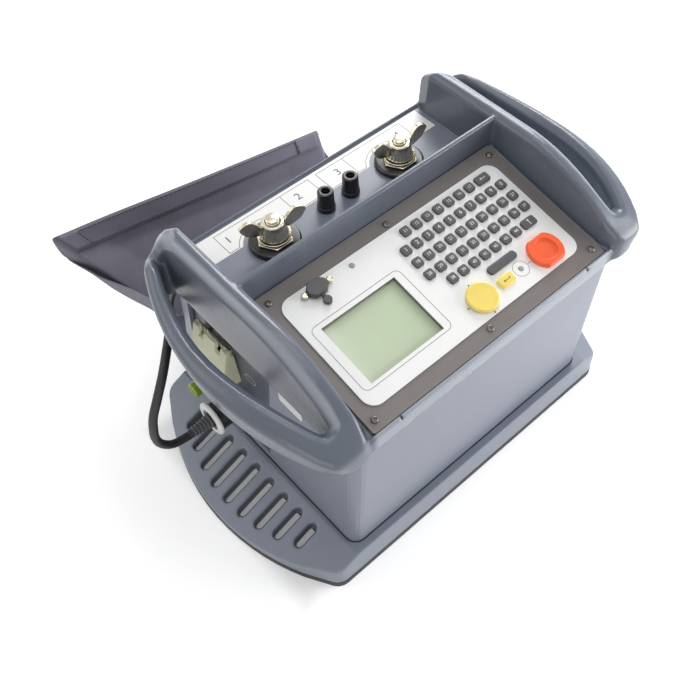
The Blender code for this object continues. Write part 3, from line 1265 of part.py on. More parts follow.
# Mains inlet, the plug locked on it and the plug's strain relief
inlet_place = shift(-INLET_Y, INLET_Z, 0)
flange_high = FIT + INLET_FLANGE_THICKNESS
inlet_loop = rounded_rectangle(0, 0, INLET_FLANGE, INLET_FLANGE, KEY_CORNER_RADIUS, 2)
inlet = add("mains_inlet", plate_mesh("mains_inlet", [inlet_loop], FIT, flange_high), BLACK_PLASTIC,
            inlet_place, end_frame)
barrel = turned_mesh("inlet_barrel", [
    (0, flange_high + INLET_REACH), (PLUG_RADIUS - PLUG_WALL - FIT, flange_high + INLET_REACH),
    (PLUG_RADIUS - PLUG_WALL - FIT, FIT + INLET_FLANGE_THICKNESS / 2),
    (INLET_RADIUS, FIT + INLET_FLANGE_THICKNESS / 2),
    (INLET_RADIUS, -INLET_DEPTH), (0, -INLET_DEPTH),
])
boolean(inlet, tool("inlet_barrel", barrel, inlet_place, end_frame), "UNION")
face_high = panel_x - PLUG_FACE_X
ring_low = face_high - PLUG_RING_THICKNESS
plug_low = flange_high + FIT
plug = turned_mesh("mains_plug", [
    (0, face_high), (PLUG_RING_RADIUS - STUD_CHAMFER, face_high),
    (PLUG_RING_RADIUS, face_high - STUD_CHAMFER),
    (PLUG_RING_RADIUS, ring_low), (PLUG_RADIUS, ring_low - STUD_CHAMFER), (PLUG_RADIUS, plug_low),
    (PLUG_RADIUS - PLUG_WALL, plug_low), (PLUG_RADIUS - PLUG_WALL, flange_high + INLET_REACH + FIT),
    (0, flange_high + INLET_REACH + FIT),
], 32)
add("mains_plug", plug, WHITE_PLASTIC, inlet_place, end_frame)
boot_low = face_high + FIT
boot_high = boot_low + BOOT_LENGTH
boot_profile = [(0, boot_high), (BOOT_TIP_RADIUS, boot_high)]
rib_length = BOOT_LENGTH / (BOOT_RIBS + 1)
for i in range(BOOT_RIBS):
    share = (i + 0.5) / BOOT_RIBS
    radius = BOOT_TIP_RADIUS + (BOOT_RADIUS - BOOT_TIP_RADIUS) * share
    rib_high = boot_high - rib_length * (i + 0.7)
    boot_profile += [
        (radius, rib_high), (radius - BOOT_RIB_DEPTH, rib_high - rib_length * 0.15),
        (radius - BOOT_RIB_DEPTH, rib_high - rib_length * 0.35), (radius, rib_high - rib_length * 0.5),
    ]
boot_profile += [(BOOT_RADIUS, boot_low), (0, boot_low)]
add("cord_boot", turned_mesh("cord_boot", boot_profile, 16), BLACK_RUBBER, inlet_place, end_frame)

# Earth post beside the inlet
earth_place = shift(-EARTH_Y, EARTH_Z, 0)
earth_base_high = FIT + EARTH_BASE_HEIGHT
earth_top = earth_base_high + EARTH_CAP_LENGTH
earth = turned_mesh("earth_post", [
    (0, earth_top - FIT), (EARTH_PIN_RADIUS, earth_top - FIT), (EARTH_PIN_RADIUS, earth_base_high),
    (EARTH_BASE_RADIUS, earth_base_high), (EARTH_BASE_RADIUS, FIT), (EARTH_PIN_RADIUS, FIT),
    (EARTH_PIN_RADIUS, -SIDE_PANEL_THICKNESS * 3), (0, -SIDE_PANEL_THICKNESS * 3),
], 16)
add("earth_post", earth, BRASS, earth_place, end_frame)
earth_bore = EARTH_PIN_RADIUS + RUNNING_FIT
earth_cap = turned_mesh("earth_cap", [
    (earth_bore, earth_top), (EARTH_CAP_RADIUS - STUD_CHAMFER, earth_top),
    (EARTH_CAP_RADIUS, earth_top - STUD_CHAMFER),
    (EARTH_CAP_RADIUS, earth_base_high + FIT), (earth_bore, earth_base_high + FIT),
], 16)
add("earth_cap", earth_cap, EARTH_GREEN, earth_place, end_frame)

# Mains lead: from the boot in a rising loop, back past the case and down into the pouch
coil_outer = COIL_INNER_RADIUS + COIL_TURNS * COIL_PITCH
coil_low_z = POUCH_FLOOR_Z + POUCH_WALL + FIT
coil_z = coil_low_z + coil_outer + CORD_RADIUS
wall_at_coil = BODY_HALF_DEPTH
coil_y = wall_at_coil + POUCH_WALL + 4 * FIT + CORD_RADIUS
cord_start_x = PLUG_FACE_X - FIT - BOOT_LENGTH - FIT
CORD_ROUTE = [
    (cord_start_x, INLET_Y, INLET_Z),
    (cord_start_x - CORD_RADIUS, INLET_Y, INLET_Z),
    (-210.6 * MM, 34 * MM, 93.4 * MM),
    (-219.8 * MM, 33 * MM, 106 * MM),
    (-223.6 * MM, 31 * MM, 121.5 * MM),
    (-223.6 * MM, 28 * MM, 139 * MM),
    (-220.5 * MM, 27 * MM, 156 * MM),
    (-212 * MM, 29 * MM, 171 * MM),
    (-200 * MM, 36 * MM, 182.5 * MM),
    (-187 * MM, 48 * MM, 188 * MM),
    (-174 * MM, 63 * MM, 188.5 * MM),
    (-163 * MM, 80 * MM, 184.5 * MM),
    (-152 * MM, 98 * MM, 177.5 * MM),
    (-137 * MM, 114 * MM, 170 * MM),
    (-118 * MM, 123 * MM, 166 * MM),
]
coil_start = Vector((COIL_CENTRE_X, coil_y, coil_z + coil_outer))


def smooth_line(points, step):
    """Points about a step apart on a smooth curve through a list of points."""
    line = [Vector(point) for point in points]
    padded = [2 * line[0] - line[1], *line, 2 * line[-1] - line[-2]]
    dense = []
    for i in range(1, len(padded) - 2):
        p0, p1, p2, p3 = padded[i - 1:i + 3]
        for k in range(12):
            t = k / 12
            dense.append(0.5 * (2 * p1 + (p2 - p0) * t + (2 * p0 - 5 * p1 + 4 * p2 - p3) * t * t
                                + (3 * p1 - p0 - 3 * p2 + p3) * t ** 3))
    dense.append(line[-1])
    count = round(sum((b - a).length for a, b in zip(dense, dense[1:])) / step)
    return resample(dense, count) + [line[-1]]


straight = 2 * CORD_RADIUS
lead_in = Vector((-straight - FIT, 0, 0))
route = [Vector(point) for point in CORD_ROUTE]
route += [coil_start + lead_in - Vector((run * straight, 0, 0)) for run in (4, 1)]
cord_line = smooth_line(route, CORD_STEP)
cord_line.insert(1, route[1])
cord_line.append(coil_start + lead_in - Vector((FIT, 0, 0)))
add("mains_cord", tube_mesh("mains_cord", cord_line, CORD_RADIUS, 2), BLACK_RUBBER)


def coil_line():
    """Two flat spirals face to face: in on the near layer, across, and out on the far layer."""
    points = [coil_start + Vector((-straight, 0, 0)), coil_start]
    total = 2 * COIL_TURNS + COIL_TAIL_TURN
    for i in range(1, round(total * COIL_POINTS) + 1):
        turn = i / COIL_POINTS
        if turn <= COIL_TURNS:
            radius = coil_outer - COIL_PITCH * turn
            layer = 0.0
        elif turn <= COIL_TURNS + 0.5:
            across = (turn - COIL_TURNS) * 2
            radius = COIL_INNER_RADIUS - COIL_PITCH * 0.3 * math.sin(math.pi * across)
            layer = (1 - math.cos(math.pi * across)) / 2
        else:
            radius = COIL_INNER_RADIUS + COIL_PITCH * (turn - COIL_TURNS - 0.5)
            layer = 1.0
        angle = 2 * math.pi * turn
        points.append(Vector((
            COIL_CENTRE_X + radius * math.sin(angle),
            coil_y + layer * COIL_LAYER_PITCH,
            coil_z + radius * math.cos(angle),
        )))
    tail_angle = 2 * math.pi * COIL_TAIL_TURN
    points.append(points[-1] + Vector((math.cos(tail_angle), 0, -math.sin(tail_angle))) * straight)
    return points


coil = coil_line()
least = min(
    (a - b).length
    for i, a in enumerate(coil)
    for b in coil[i + round(COIL_POINTS / 2):]
) - 2 * CORD_RADIUS
length = sum((b - a).length for a, b in zip(cord_line + coil, (cord_line + coil)[1:]))
bends = [
    (b - a).length * (c - b).length * (c - a).length / (2 * (b - a).cross(c - a).length + 1e-12)
    for a, b, c in zip(cord_line, cord_line[1:], cord_line[2:])
]
print(f"tightest bend of the lead {min(bends) / MM:.1f} mm")
print(f"coil gap {least / MM:.2f} mm, lead {length:.3f} m")
add("cord_coil", tube_mesh("cord_coil", coil, CORD_RADIUS, 1), BLACK_RUBBER)

# Plug on the far end of the lead, beside the coil in the pouch
tail = (coil[-1] - coil[-2]).normalized()
supply_turn = tail.to_track_quat("Z", "Y").to_matrix().to_4x4()
supply_place = Matrix.Translation(coil[-1] + tail * RUNNING_FIT) @ supply_turn
shoulder = SUPPLY_PLUG_NECK_LENGTH
supply_top = shoulder + SUPPLY_PLUG_LENGTH
supply = turned_mesh("supply_plug", [
    (0, supply_top),
    (SUPPLY_PLUG_RADIUS - STUD_CHAMFER, supply_top),
    (SUPPLY_PLUG_RADIUS, supply_top - STUD_CHAMFER),
    (SUPPLY_PLUG_RADIUS, supply_top - SUPPLY_PLUG_LENGTH / 3),
    (SUPPLY_PLUG_RADIUS * 0.8, shoulder + SUPPLY_PLUG_LENGTH / 4),
    (SUPPLY_PLUG_NECK_RADIUS, shoulder),
    (CORD_RADIUS + FIT, 0),
    (0, 0),
])
supply_plug = add("supply_plug", supply, BLACK_RUBBER, supply_place)
pins = [circle(0, side * SUPPLY_PIN_SPACING / 2, SUPPLY_PIN_RADIUS, 12) for side in (-1, 1)]
pin_mesh = plate_mesh("supply_pins", pins, supply_top - STUD_CHAMFER, supply_top + SUPPLY_PIN_LENGTH)
boolean(supply_plug, tool("supply_pins", pin_mesh, supply_place), "UNION")

# Lead pouch: flat back against the case, floor, and an outer panel that leans away to its hem

def pouch_section(share):
    """Section of the pouch's mid surface at a share of its length, from the back's top to the hem."""
    wall = 2 * FIT + POUCH_WALL / 2
    mouth_x = POUCH_MOUTH_LEFT_X + (POUCH_MOUTH_RIGHT_X - POUCH_MOUTH_LEFT_X) * share
    mouth_z = POUCH_MOUTH_LEFT_Z + (POUCH_MOUTH_RIGHT_Z - POUCH_MOUTH_LEFT_Z) * share
    floor_x = POUCH_FLOOR_LEFT_X + (POUCH_FLOOR_RIGHT_X - POUCH_FLOOR_LEFT_X) * share
    floor_y = body_back_y(POUCH_FLOOR_Z) + wall
    floor_z = POUCH_FLOOR_Z + POUCH_WALL / 2
    return [
        Vector((mouth_x, body_back_y(mouth_z) + wall, mouth_z)),
        Vector((floor_x, floor_y, floor_z)),
        Vector((floor_x, floor_y + POUCH_FLOOR_DEPTH, floor_z)),
        Vector(POUCH_HEM_LEFT).lerp(Vector(POUCH_HEM_RIGHT), share),
    ]


POUCH_STATIONS = 5
pouch_bm = bmesh.new()
sections = []
for i in range(POUCH_STATIONS):
    section = pouch_section(i / (POUCH_STATIONS - 1))
    sections.append([pouch_bm.verts.new(point) for point in section])
for section, following in zip(sections, sections[1:]):
    for i in range(len(section) - 1):
        pouch_bm.faces.new((section[i], following[i], following[i + 1], section[i + 1]))
for section in (sections[0], sections[-1]):
    pouch_bm.faces.new(section)
pouch = add("lead_pouch", mesh_of(pouch_bm, "lead_pouch"), POUCH_CLOTH)
cloth = pouch.modifiers.new("cloth", "SOLIDIFY")
cloth.thickness = POUCH_WALL
cloth.offset = 0
cloth.use_even_offset = True

# Inside: chassis plate, supply module with fins, toroidal transformer, busbars and control board
chassis_low = well_z + FIT
chassis_high = chassis_low + CHASSIS_THICKNESS
chassis = box_mesh(
    "chassis_plate",
    (-CHASSIS_HALF_LENGTH, -CHASSIS_HALF_DEPTH, chassis_low),
    (CHASSIS_HALF_LENGTH, CHASSIS_HALF_DEPTH, chassis_high),
)
add("chassis_plate", chassis, STEEL)
module_low = chassis_high + FIT
module_high = module_low + MODULE_HEIGHT
module_mesh = box_mesh(
    "power_module",
    (-MODULE_LENGTH / 2, MODULE_Y - MODULE_DEPTH / 2, module_low),
    (MODULE_LENGTH / 2, MODULE_Y + MODULE_DEPTH / 2, module_high),
)
power_module = add("power_module", module_mesh, STEEL)
fin_pitch = MODULE_LENGTH / FIN_COUNT
fin_y = MODULE_Y + MODULE_DEPTH / 2
fin_gaps = [
    rounded_rectangle((i - (FIN_COUNT - 1) / 2) * fin_pitch, fin_y, FIN_WIDTH, 2 * FIN_DEPTH, FIT, 1)
    for i in range(FIN_COUNT)
]
fin_cut = plate_mesh("fin_gaps", fin_gaps, module_low + WALL, module_high + WALL)
boolean(power_module, tool("fin_gaps", fin_cut), "DIFFERENCE")
core_round = CORE_HEIGHT / 4
core_mesh = turned_mesh("transformer", [
    (CORE_HOLE_RADIUS, module_low + CORE_HEIGHT - core_round),
    (CORE_HOLE_RADIUS + core_round, module_low + CORE_HEIGHT),
    (CORE_RADIUS - core_round, module_low + CORE_HEIGHT),
    (CORE_RADIUS, module_low + CORE_HEIGHT - core_round),
    (CORE_RADIUS, module_low + core_round),
    (CORE_RADIUS - core_round, module_low),
    (CORE_HOLE_RADIUS + core_round, module_low),
    (CORE_HOLE_RADIUS, module_low + core_round),
])
add("transformer", core_mesh, COPPER, shift(CORE_X, CORE_Y, 0))
for name, (x, y) in zip(("c1", "c2"), stud_places):
    bar = box_mesh(
        "busbar_" + name,
        (x - BUSBAR_WIDTH / 2, y - BUSBAR_THICKNESS / 2, module_high + FIT),
        (x + BUSBAR_WIDTH / 2, y + BUSBAR_THICKNESS / 2, STUD_TAIL_Z - FIT),
    )
    add("busbar_" + name, bar, COPPER)
board_base = chassis_high + FIT + STANDOFF_HEIGHT
control_mesh = box_mesh(
    "control_board",
    (CONTROL_BOARD_X - CONTROL_BOARD_LENGTH / 2, CONTROL_BOARD_Y - CONTROL_BOARD_DEPTH / 2, board_base),
    (CONTROL_BOARD_X + CONTROL_BOARD_LENGTH / 2, CONTROL_BOARD_Y + CONTROL_BOARD_DEPTH / 2,
     board_base + BOARD_THICKNESS),
)
control_board = add("control_board", control_mesh, BOARD_GREEN)
corner_x = CONTROL_BOARD_LENGTH / 2 - 2 * STANDOFF_RADIUS
corner_y = CONTROL_BOARD_DEPTH / 2 - 2 * STANDOFF_RADIUS
legs = [
    circle(CONTROL_BOARD_X + side_x * corner_x, CONTROL_BOARD_Y + side_y * corner_y, STANDOFF_RADIUS, 12)
    for side_x in (-1, 1)
    for side_y in (-1, 1)
]
leg_mesh = plate_mesh("standoffs", legs, chassis_high + FIT, board_base + BOARD_THICKNESS / 2)
boolean(control_board, tool("standoffs", leg_mesh), "UNION")

bpy.context.view_layer.update()
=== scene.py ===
"""Looks of the low-resistance test set: camera and studio, then its pieces in the order they go together."""
import math

import bmesh
import bpy
from mathutils import Matrix, Vector, noise


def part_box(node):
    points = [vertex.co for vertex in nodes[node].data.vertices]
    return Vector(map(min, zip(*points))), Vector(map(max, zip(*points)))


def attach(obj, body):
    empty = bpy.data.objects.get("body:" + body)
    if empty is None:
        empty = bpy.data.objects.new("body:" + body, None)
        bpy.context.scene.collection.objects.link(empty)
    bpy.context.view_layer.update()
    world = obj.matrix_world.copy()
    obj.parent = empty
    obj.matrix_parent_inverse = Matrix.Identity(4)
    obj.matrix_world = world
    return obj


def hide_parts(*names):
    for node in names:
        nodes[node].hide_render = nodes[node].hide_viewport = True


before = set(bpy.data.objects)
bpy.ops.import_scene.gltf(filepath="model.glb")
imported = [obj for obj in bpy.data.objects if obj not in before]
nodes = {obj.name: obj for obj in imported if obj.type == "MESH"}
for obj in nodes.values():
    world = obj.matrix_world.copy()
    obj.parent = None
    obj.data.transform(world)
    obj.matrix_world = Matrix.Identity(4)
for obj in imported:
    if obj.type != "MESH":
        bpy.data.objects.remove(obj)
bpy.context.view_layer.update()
scene = bpy.context.scene
MM = 0.001

# Camera: a shot from above the front left corner, its place found by fitting the panel, studs and base
CAMERA_TARGET = Vector((0, 0, 135 * MM))
CAMERA_TURN = math.radians(-42.34)
CAMERA_RISE = math.radians(51.71)
CAMERA_ROLL = math.radians(-0.24)
CAMERA_DISTANCE = 830.92 * MM
lens = bpy.data.cameras.new("camera")
lens.lens = 49.715
lens.sensor_width = 36
lens.shift_x = -0.0653
lens.shift_y = -0.0533
toward_camera = Vector((
    math.sin(CAMERA_TURN) * math.cos(CAMERA_RISE),
    -math.cos(CAMERA_TURN) * math.cos(CAMERA_RISE),
    math.sin(CAMERA_RISE),
))
camera = bpy.data.objects.new("camera", lens)
camera_turn = (-toward_camera).to_track_quat("-Z", "Y").to_matrix().to_4x4()
camera_place = Matrix.Translation(CAMERA_TARGET + toward_camera * CAMERA_DISTANCE)
camera.matrix_world = camera_place @ camera_turn @ Matrix.Rotation(CAMERA_ROLL, 4, "Z")
scene.collection.objects.link(camera)
scene.camera = camera
scene.view_settings.view_transform = "Standard"


def linear(colour):
    """Scene colour of an sRGB hex colour."""
    channels = [int(colour[i:i + 2], 16) / 255 for i in (1, 3, 5)]
    return [c / 12.92 if c <= 0.04045 else ((c + 0.055) / 1.055) ** 2.4 for c in channels] + [1.0]


def add_node(material, kind, values=(), **settings):
    """A shader node with its settings, and its inputs set or linked."""
    tree = material.node_tree
    node = tree.nodes.new("ShaderNode" + kind)
    for name, value in settings.items():
        setattr(node, name, value)
    for name, value in dict(values).items():
        if isinstance(value, bpy.types.NodeSocket):
            tree.links.new(value, node.inputs[name])
        else:
            node.inputs[name].default_value = value
    return node


def surface(name, colour, roughness, grain, relief, mottle=0.10, patch=14 * MM, **inputs):
    """A finish with a raised grain, and with colour and gloss that drift a little from patch to patch."""
    material = bpy.data.materials.new(name)
    material.use_nodes = True
    shader = material.node_tree.nodes["Principled BSDF"]
    place = add_node(material, "TexCoord").outputs["Object"]
    patches = add_node(material, "TexNoise", {"Vector": place, "Scale": 1 / patch, "Detail": 4.0})
    tone = add_node(material, "ValToRGB", {"Fac": patches.outputs["Fac"]})
    base = linear(colour)
    for element, share in zip(tone.color_ramp.elements, (1 - mottle, 1 + mottle)):
        element.color = [min(1.0, c * share) for c in base[:3]] + [1.0]
    tone.color_ramp.elements[0].position = 0.3
    tone.color_ramp.elements[1].position = 0.7
    gloss = add_node(material, "MapRange", {
        "Value": patches.outputs["Fac"], "From Min": 0.3, "From Max": 0.7,
        "To Min": roughness * 0.9, "To Max": min(1.0, roughness * 1.1),
    })
    grains = add_node(material, "TexNoise", {"Vector": place, "Scale": 1 / grain, "Detail": 2.0})
    bump = add_node(material, "Bump", {"Height": grains.outputs["Fac"], "Distance": relief})
    links = material.node_tree.links
    links.new(tone.outputs["Color"], shader.inputs["Base Color"])
    links.new(gloss.outputs["Result"], shader.inputs["Roughness"])
    links.new(bump.outputs["Normal"], shader.inputs["Normal"])
    for socket, value in inputs.items():
        shader.inputs[socket.replace("_", " ")].default_value = value
    return material


def add(name, mesh):
    """A new piece of the scene with the given mesh."""
    piece = bpy.data.objects.new(name, mesh)
    scene.collection.objects.link(piece)
    return piece


# Floor and light: a pale sheet that runs out of view, white to the camera and in gloss, under soft boxes
FLOOR_HALF = 3.0
FLOOR_GLOW = 0.45
FLOOR_COVERED = (200 * MM, 118 * MM)
PAINTED_SHADOW_GLOW = 0.5
WORLD_LEVEL = 0.22


def glow(material, dark, bright, *rays):
    """Strength that is bright to the named kinds of ray and dark to the rest."""
    path = add_node(material, "LightPath").outputs
    seen = path[rays[0]]
    for kind in rays[1:]:
        seen = add_node(material, "Math", {0: seen, 1: path[kind]}, operation="MAXIMUM").outputs[0]
    return add_node(material, "MapRange", {"Value": seen, "To Min": dark, "To Max": bright}).outputs["Result"]


floor_mesh = bpy.data.meshes.new("floor")
floor_bm = bmesh.new()
bmesh.ops.create_grid(floor_bm, x_segments=1, y_segments=1, size=FLOOR_HALF)
floor_bm.to_mesh(floor_mesh)
floor = add("floor", floor_mesh)
floor_paper = surface("studio_floor", "#f4f4f4", 0.75, 0.8 * MM, 0.02 * MM, mottle=0.01)
floor_shader = floor_paper.node_tree.nodes["Principled BSDF"]
floor_shader.inputs["Emission Color"].default_value = (1.0, 1.0, 1.0, 1.0)
floor_glow = glow(floor_paper, 0.0, FLOOR_GLOW, "Is Camera Ray", "Is Glossy Ray", "Is Transmission Ray")
floor_place = add_node(floor_paper, "TexCoord").outputs["Object"]
floor_axes = add_node(floor_paper, "SeparateXYZ", {"Vector": floor_place}).outputs
# Painted shadow: over the object's footprint the floor's glow drops to a share of itself, standing in for the shade
# under the case.
covered = []
for axis, half in zip("XY", FLOOR_COVERED):
    reach = add_node(floor_paper, "Math", {0: floor_axes[axis]}, operation="ABSOLUTE").outputs[0]
    covered.append(add_node(floor_paper, "Math", {0: reach, 1: half}, operation="SUBTRACT").outputs[0])
outside = add_node(floor_paper, "Math", {0: covered[0], 1: covered[1]}, operation="MAXIMUM").outputs[0]
outside = add_node(floor_paper, "MapRange", {
    "Value": outside, "From Min": -8 * MM, "From Max": 8 * MM, "To Min": PAINTED_SHADOW_GLOW,
})
open_glow = add_node(floor_paper, "Math", {0: floor_glow, 1: outside.outputs["Result"]}, operation="MULTIPLY")
floor_paper.node_tree.links.new(open_glow.outputs[0], floor_shader.inputs["Emission Strength"])
floor_mesh.materials.append(floor_paper)

world = bpy.data.worlds.new("studio")
world.use_nodes = True
sky = world.node_tree.nodes["Background"]
sky.inputs["Color"].default_value = (1.0, 1.0, 1.0, 1.0)
sky_glow = glow(world, WORLD_LEVEL, 1.0, "Is Camera Ray", "Is Glossy Ray", "Is Transmission Ray")
world.node_tree.links.new(sky_glow, sky.inputs["Strength"])
scene.world = world


def soft_box(name, place, size, power):
    """A square lamp that faces the middle of the object."""
    lamp = bpy.data.lights.new(name, "AREA")
    lamp.size = size
    lamp.energy = power
    box = bpy.data.objects.new(name, lamp)
    facing = (CAMERA_TARGET - Vector(place)).to_track_quat("-Z", "Y")
    box.matrix_world = Matrix.Translation(place) @ facing.to_matrix().to_4x4()
    scene.collection.objects.link(box)


soft_box("key_box", (1.0, 0.8, 1.0), 0.8, 17)
soft_box("front_box", (1.0, -0.9, 0.4), 0.8, 14)
soft_box("end_box", (-1.0, -0.7, 0.4), 0.8, 3.5)
soft_box("back_box", (-0.9, 0.8, 0.9), 0.8, 3)
soft_box("top_box", (0.0, 0.0, 1.6), 0.9, 5)

# Base tray: a deep moulding in grained grey plastic, every edge and slot rounded over, on a rubber foot


def baked(piece):
    """The piece with its modifiers applied and its faces smooth."""
    graph = bpy.context.evaluated_depsgraph_get()
    mesh = bpy.data.meshes.new_from_object(piece.evaluated_get(graph))
    piece.modifiers.clear()
    piece.data = mesh
    mesh.shade_smooth()
    return piece


def fit(piece, body, slot, *replaced, finish=None):
    """Gives a piece its finish and its body, and hides the nodes that it stands for."""
    piece.data.materials.clear()
    piece.data.materials.append(finish or finishes[slot])
    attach(piece, body)
    if replaced:
        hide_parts(*replaced)
    return piece


def rounded(left, low, right, high, radius, steps=6):
    """Corners of a rounded rectangle, anticlockwise from its lower right."""
    loop = []
    centres = [(right - radius, low + radius), (right - radius, high - radius)]
    centres += [(left + radius, high - radius), (left + radius, low + radius)]
    for corner, (x, y) in enumerate(centres):
        for i in range(steps + 1):
            angle = math.radians(90 * (corner - 1 + i / steps))
            loop.append((x + radius * math.cos(angle), y + radius * math.sin(angle)))
    return loop


def skin(name, rings, closed=True):
    """A surface through rings of the same number of points; a ring of one point closes an end."""
    bm = bmesh.new()
    made = [[bm.verts.new(point) for point in ring] for ring in rings]
    for ring, following in zip(made, made[1:]):
        count = max(len(ring), len(following))
        for i in range(count if closed else count - 1):
            corners = [ring[i % len(ring)], ring[(i + 1) % len(ring)]]
            corners += [following[(i + 1) % len(following)], following[i % len(following)]]
            bm.faces.new(list(dict.fromkeys(corners)))
    bmesh.ops.recalc_face_normals(bm, faces=bm.faces)
    mesh = bpy.data.meshes.new(name)
    bm.to_mesh(mesh)
    bm.free()
    mesh.shade_smooth()
    return mesh


def softened(name, node, voxel, passes, keep, *zones):
    """A copy of a node's solid with rounded edges: remeshed, smoothed, and thinned where it is flat.

    Each zone gives a share of more passes to the points of one region.
    """
    piece = add(name, nodes[node].data.copy())
    remesh = piece.modifiers.new("remesh", "REMESH")
    remesh.mode = "VOXEL"
    remesh.voxel_size = voxel
    smooth = piece.modifiers.new("smooth", "SMOOTH")
    smooth.factor = 0.5
    smooth.iterations = passes
    if zones:
        baked(piece)
    for more, share in zones:
        group = piece.vertex_groups.new(name="zone")
        steps = {}
        for vertex in piece.data.vertices:
            weight = round(8 * max(0.0, min(1.0, share(*vertex.co)))) / 8
            if weight:
                steps.setdefault(weight, []).append(vertex.index)
        for weight, points in steps.items():
            group.add(points, weight, "REPLACE")
        smooth = piece.modifiers.new("smooth", "SMOOTH")
        smooth.factor = 0.5
        smooth.iterations = more
        smooth.vertex_group = group.name
    thin = piece.modifiers.new("thin", "DECIMATE")
    thin.ratio = keep
    return baked(piece)


def edged(name, node, width):
    """A copy of a node's solid with its sharp edges rounded over."""
    piece = add(name, nodes[node].data.copy())
    edge = piece.modifiers.new("edge", "BEVEL")
    edge.width = width
    edge.segments = 3
    edge.limit_method = "ANGLE"
    edge.angle_limit = math.radians(28)
    edge.use_clamp_overlap = False
    edge.harden_normals = True
    return baked(piece)


def dress(slot, *names):
    """Gives CAD nodes their finish."""
    for name in names:
        nodes[name].material_slots[0].material = finishes[slot]


finishes = {"black_rubber": surface("black_rubber", "#1e1e21", 0.55, 0.5 * MM, 0.03 * MM)}
finishes["case_grey"] = surface("case_grey", "#848a98", 0.36, 0.5 * MM, 0.02 * MM, mottle=0.04, patch=40 * MM)
base_moulding = softened(
    "base_moulding", "base_tray", 0.9 * MM, 3, 0.15, (18, lambda x, y, z: (abs(x) - 146 * MM) / (5 * MM))
)
fit(base_moulding, "case", "case_grey", "base_tray")

SLOT_ROWS = [19.8 * i for i in range(-4, 5)]
SLOT_INNER = 153.5
SLOT_OUTER = 195
SLOT_ARC = 182
SLOT_HALF = 5
SLOT_LIP = [
    (-0.5, 0.9), (0.3, 1.3), (0.9, 2.4), (1.3, 4), (1.5, 6), (1.6, 9), (0.8, 9), (0.4, 6.4), (-0.3, 4.6), (-0.5, 0.9),
]
WING_ROOT = 147
WING_TOP = 38
WING_FALL = (38 - 13) / (206 - 147)


def slot_liner(side, y):
    """The rolled edge of a wing slot: rings that draw in as they go down from the sloping top."""
    outer = SLOT_OUTER - SLOT_ARC + math.sqrt(SLOT_ARC ** 2 - y * y)
    rings = []
    for inset, depth in SLOT_LIP:
        half = SLOT_HALF - inset
        ring = []
        for x, v in rounded(SLOT_INNER + inset, y - half, outer - inset, y + half, half * 0.98):
            z = WING_TOP - WING_FALL * (x - WING_ROOT) - depth
            ring.append(Vector((side * x, v, z)) * MM)
        rings.append(ring)
    return skin("slot_liner", rings)


slot_liners = [slot_liner(side, y) for side in (-1, 1) for y in SLOT_ROWS]
# Darker grey: for the connector plate, and as painted shade on the rolled slot edges.
finishes["slate_and_painted_shade_grey"] = surface("slate_and_painted_shade_grey", "#555a65", 0.36, 0.4 * MM, 0.02 * MM, mottle=0.04)
FOOT_GROWTH = (1 + 0.7 / 206, 1 + 0.7 / 126, 1.55)
foot_band = add("foot_band", nodes["base_foot"].data.copy())
foot_band.data.transform(Matrix.Diagonal((*FOOT_GROWTH, 1)))
fit(foot_band, "case", "black_rubber", "base_foot")

# Case body: a tapered open box of the same plastic, screwed to the tray from below
fit(edged("body_shell", "case_body", 0.8 * MM), "case", "case_grey", "case_body")

# Inside the case: steel chassis plate with a finned supply, a toroid, busbars and a control board
finishes["steel"] = surface("steel", "#a9aaac", 0.35, 0.4 * MM, 0.01 * MM, Metallic=1.0)
finishes["aluminium"] = surface("aluminium", "#b9bbbe", 0.4, 0.4 * MM, 0.01 * MM, Metallic=1.0)
finishes["copper"] = surface("copper", "#b8703f", 0.3, 0.4 * MM, 0.01 * MM, Metallic=1.0)
finishes["board_green"] = surface("board_green", "#1f5a3a", 0.5, 0.8 * MM, 0.02 * MM)
dress("steel", "chassis_plate")
dress("aluminium", "power_module")
dress("copper", "transformer", "busbar_c1", "busbar_c2")
dress("board_green", "control_board", "key_board", "lcd_module")

# Top frame: one moulding with the panel's rim, the rib, the terminal trough and a ring handle at each end
frame_plastic_and_painted_light = surface("frame_plastic_and_painted_light", "#636a77", 0.26, 0.5 * MM, 0.02 * MM, mottle=0.04, patch=40 * MM)
# Painted light: walls inside the handles that face out towards the case's ends, and the front face of the lip, are
# mixed towards a paler grey, standing in for the light that falls on them.
wall_place = add_node(frame_plastic_and_painted_light, "TexCoord").outputs
wall_x = add_node(frame_plastic_and_painted_light, "SeparateXYZ", {"Vector": wall_place["Object"]}).outputs["X"]
wall_side = add_node(frame_plastic_and_painted_light, "Math", {0: wall_x}, operation="SIGN").outputs[0]
wall_facing = add_node(frame_plastic_and_painted_light, "SeparateXYZ", {"Vector": wall_place["Normal"]}).outputs["X"]
wall_facing = add_node(frame_plastic_and_painted_light, "Math", {0: wall_side, 1: wall_facing}, operation="MULTIPLY").outputs[0]
wall_facing = add_node(frame_plastic_and_painted_light, "MapRange", {"Value": wall_facing, "From Min": 0.2, "From Max": 0.4})
wall_reach = add_node(frame_plastic_and_painted_light, "Math", {0: wall_x}, operation="ABSOLUTE").outputs[0]
wall_reach = add_node(frame_plastic_and_painted_light, "MapRange", {
    "Value": wall_reach, "From Min": 148 * MM, "From Max": 151 * MM, "To Min": 1.0, "To Max": 0.0,
})
painted_light_share = add_node(frame_plastic_and_painted_light, "Math", {
    0: wall_facing.outputs["Result"], 1: wall_reach.outputs["Result"],
}, operation="MULTIPLY").outputs[0]
lip_y = add_node(frame_plastic_and_painted_light, "SeparateXYZ", {"Vector": wall_place["Object"]}).outputs["Y"]
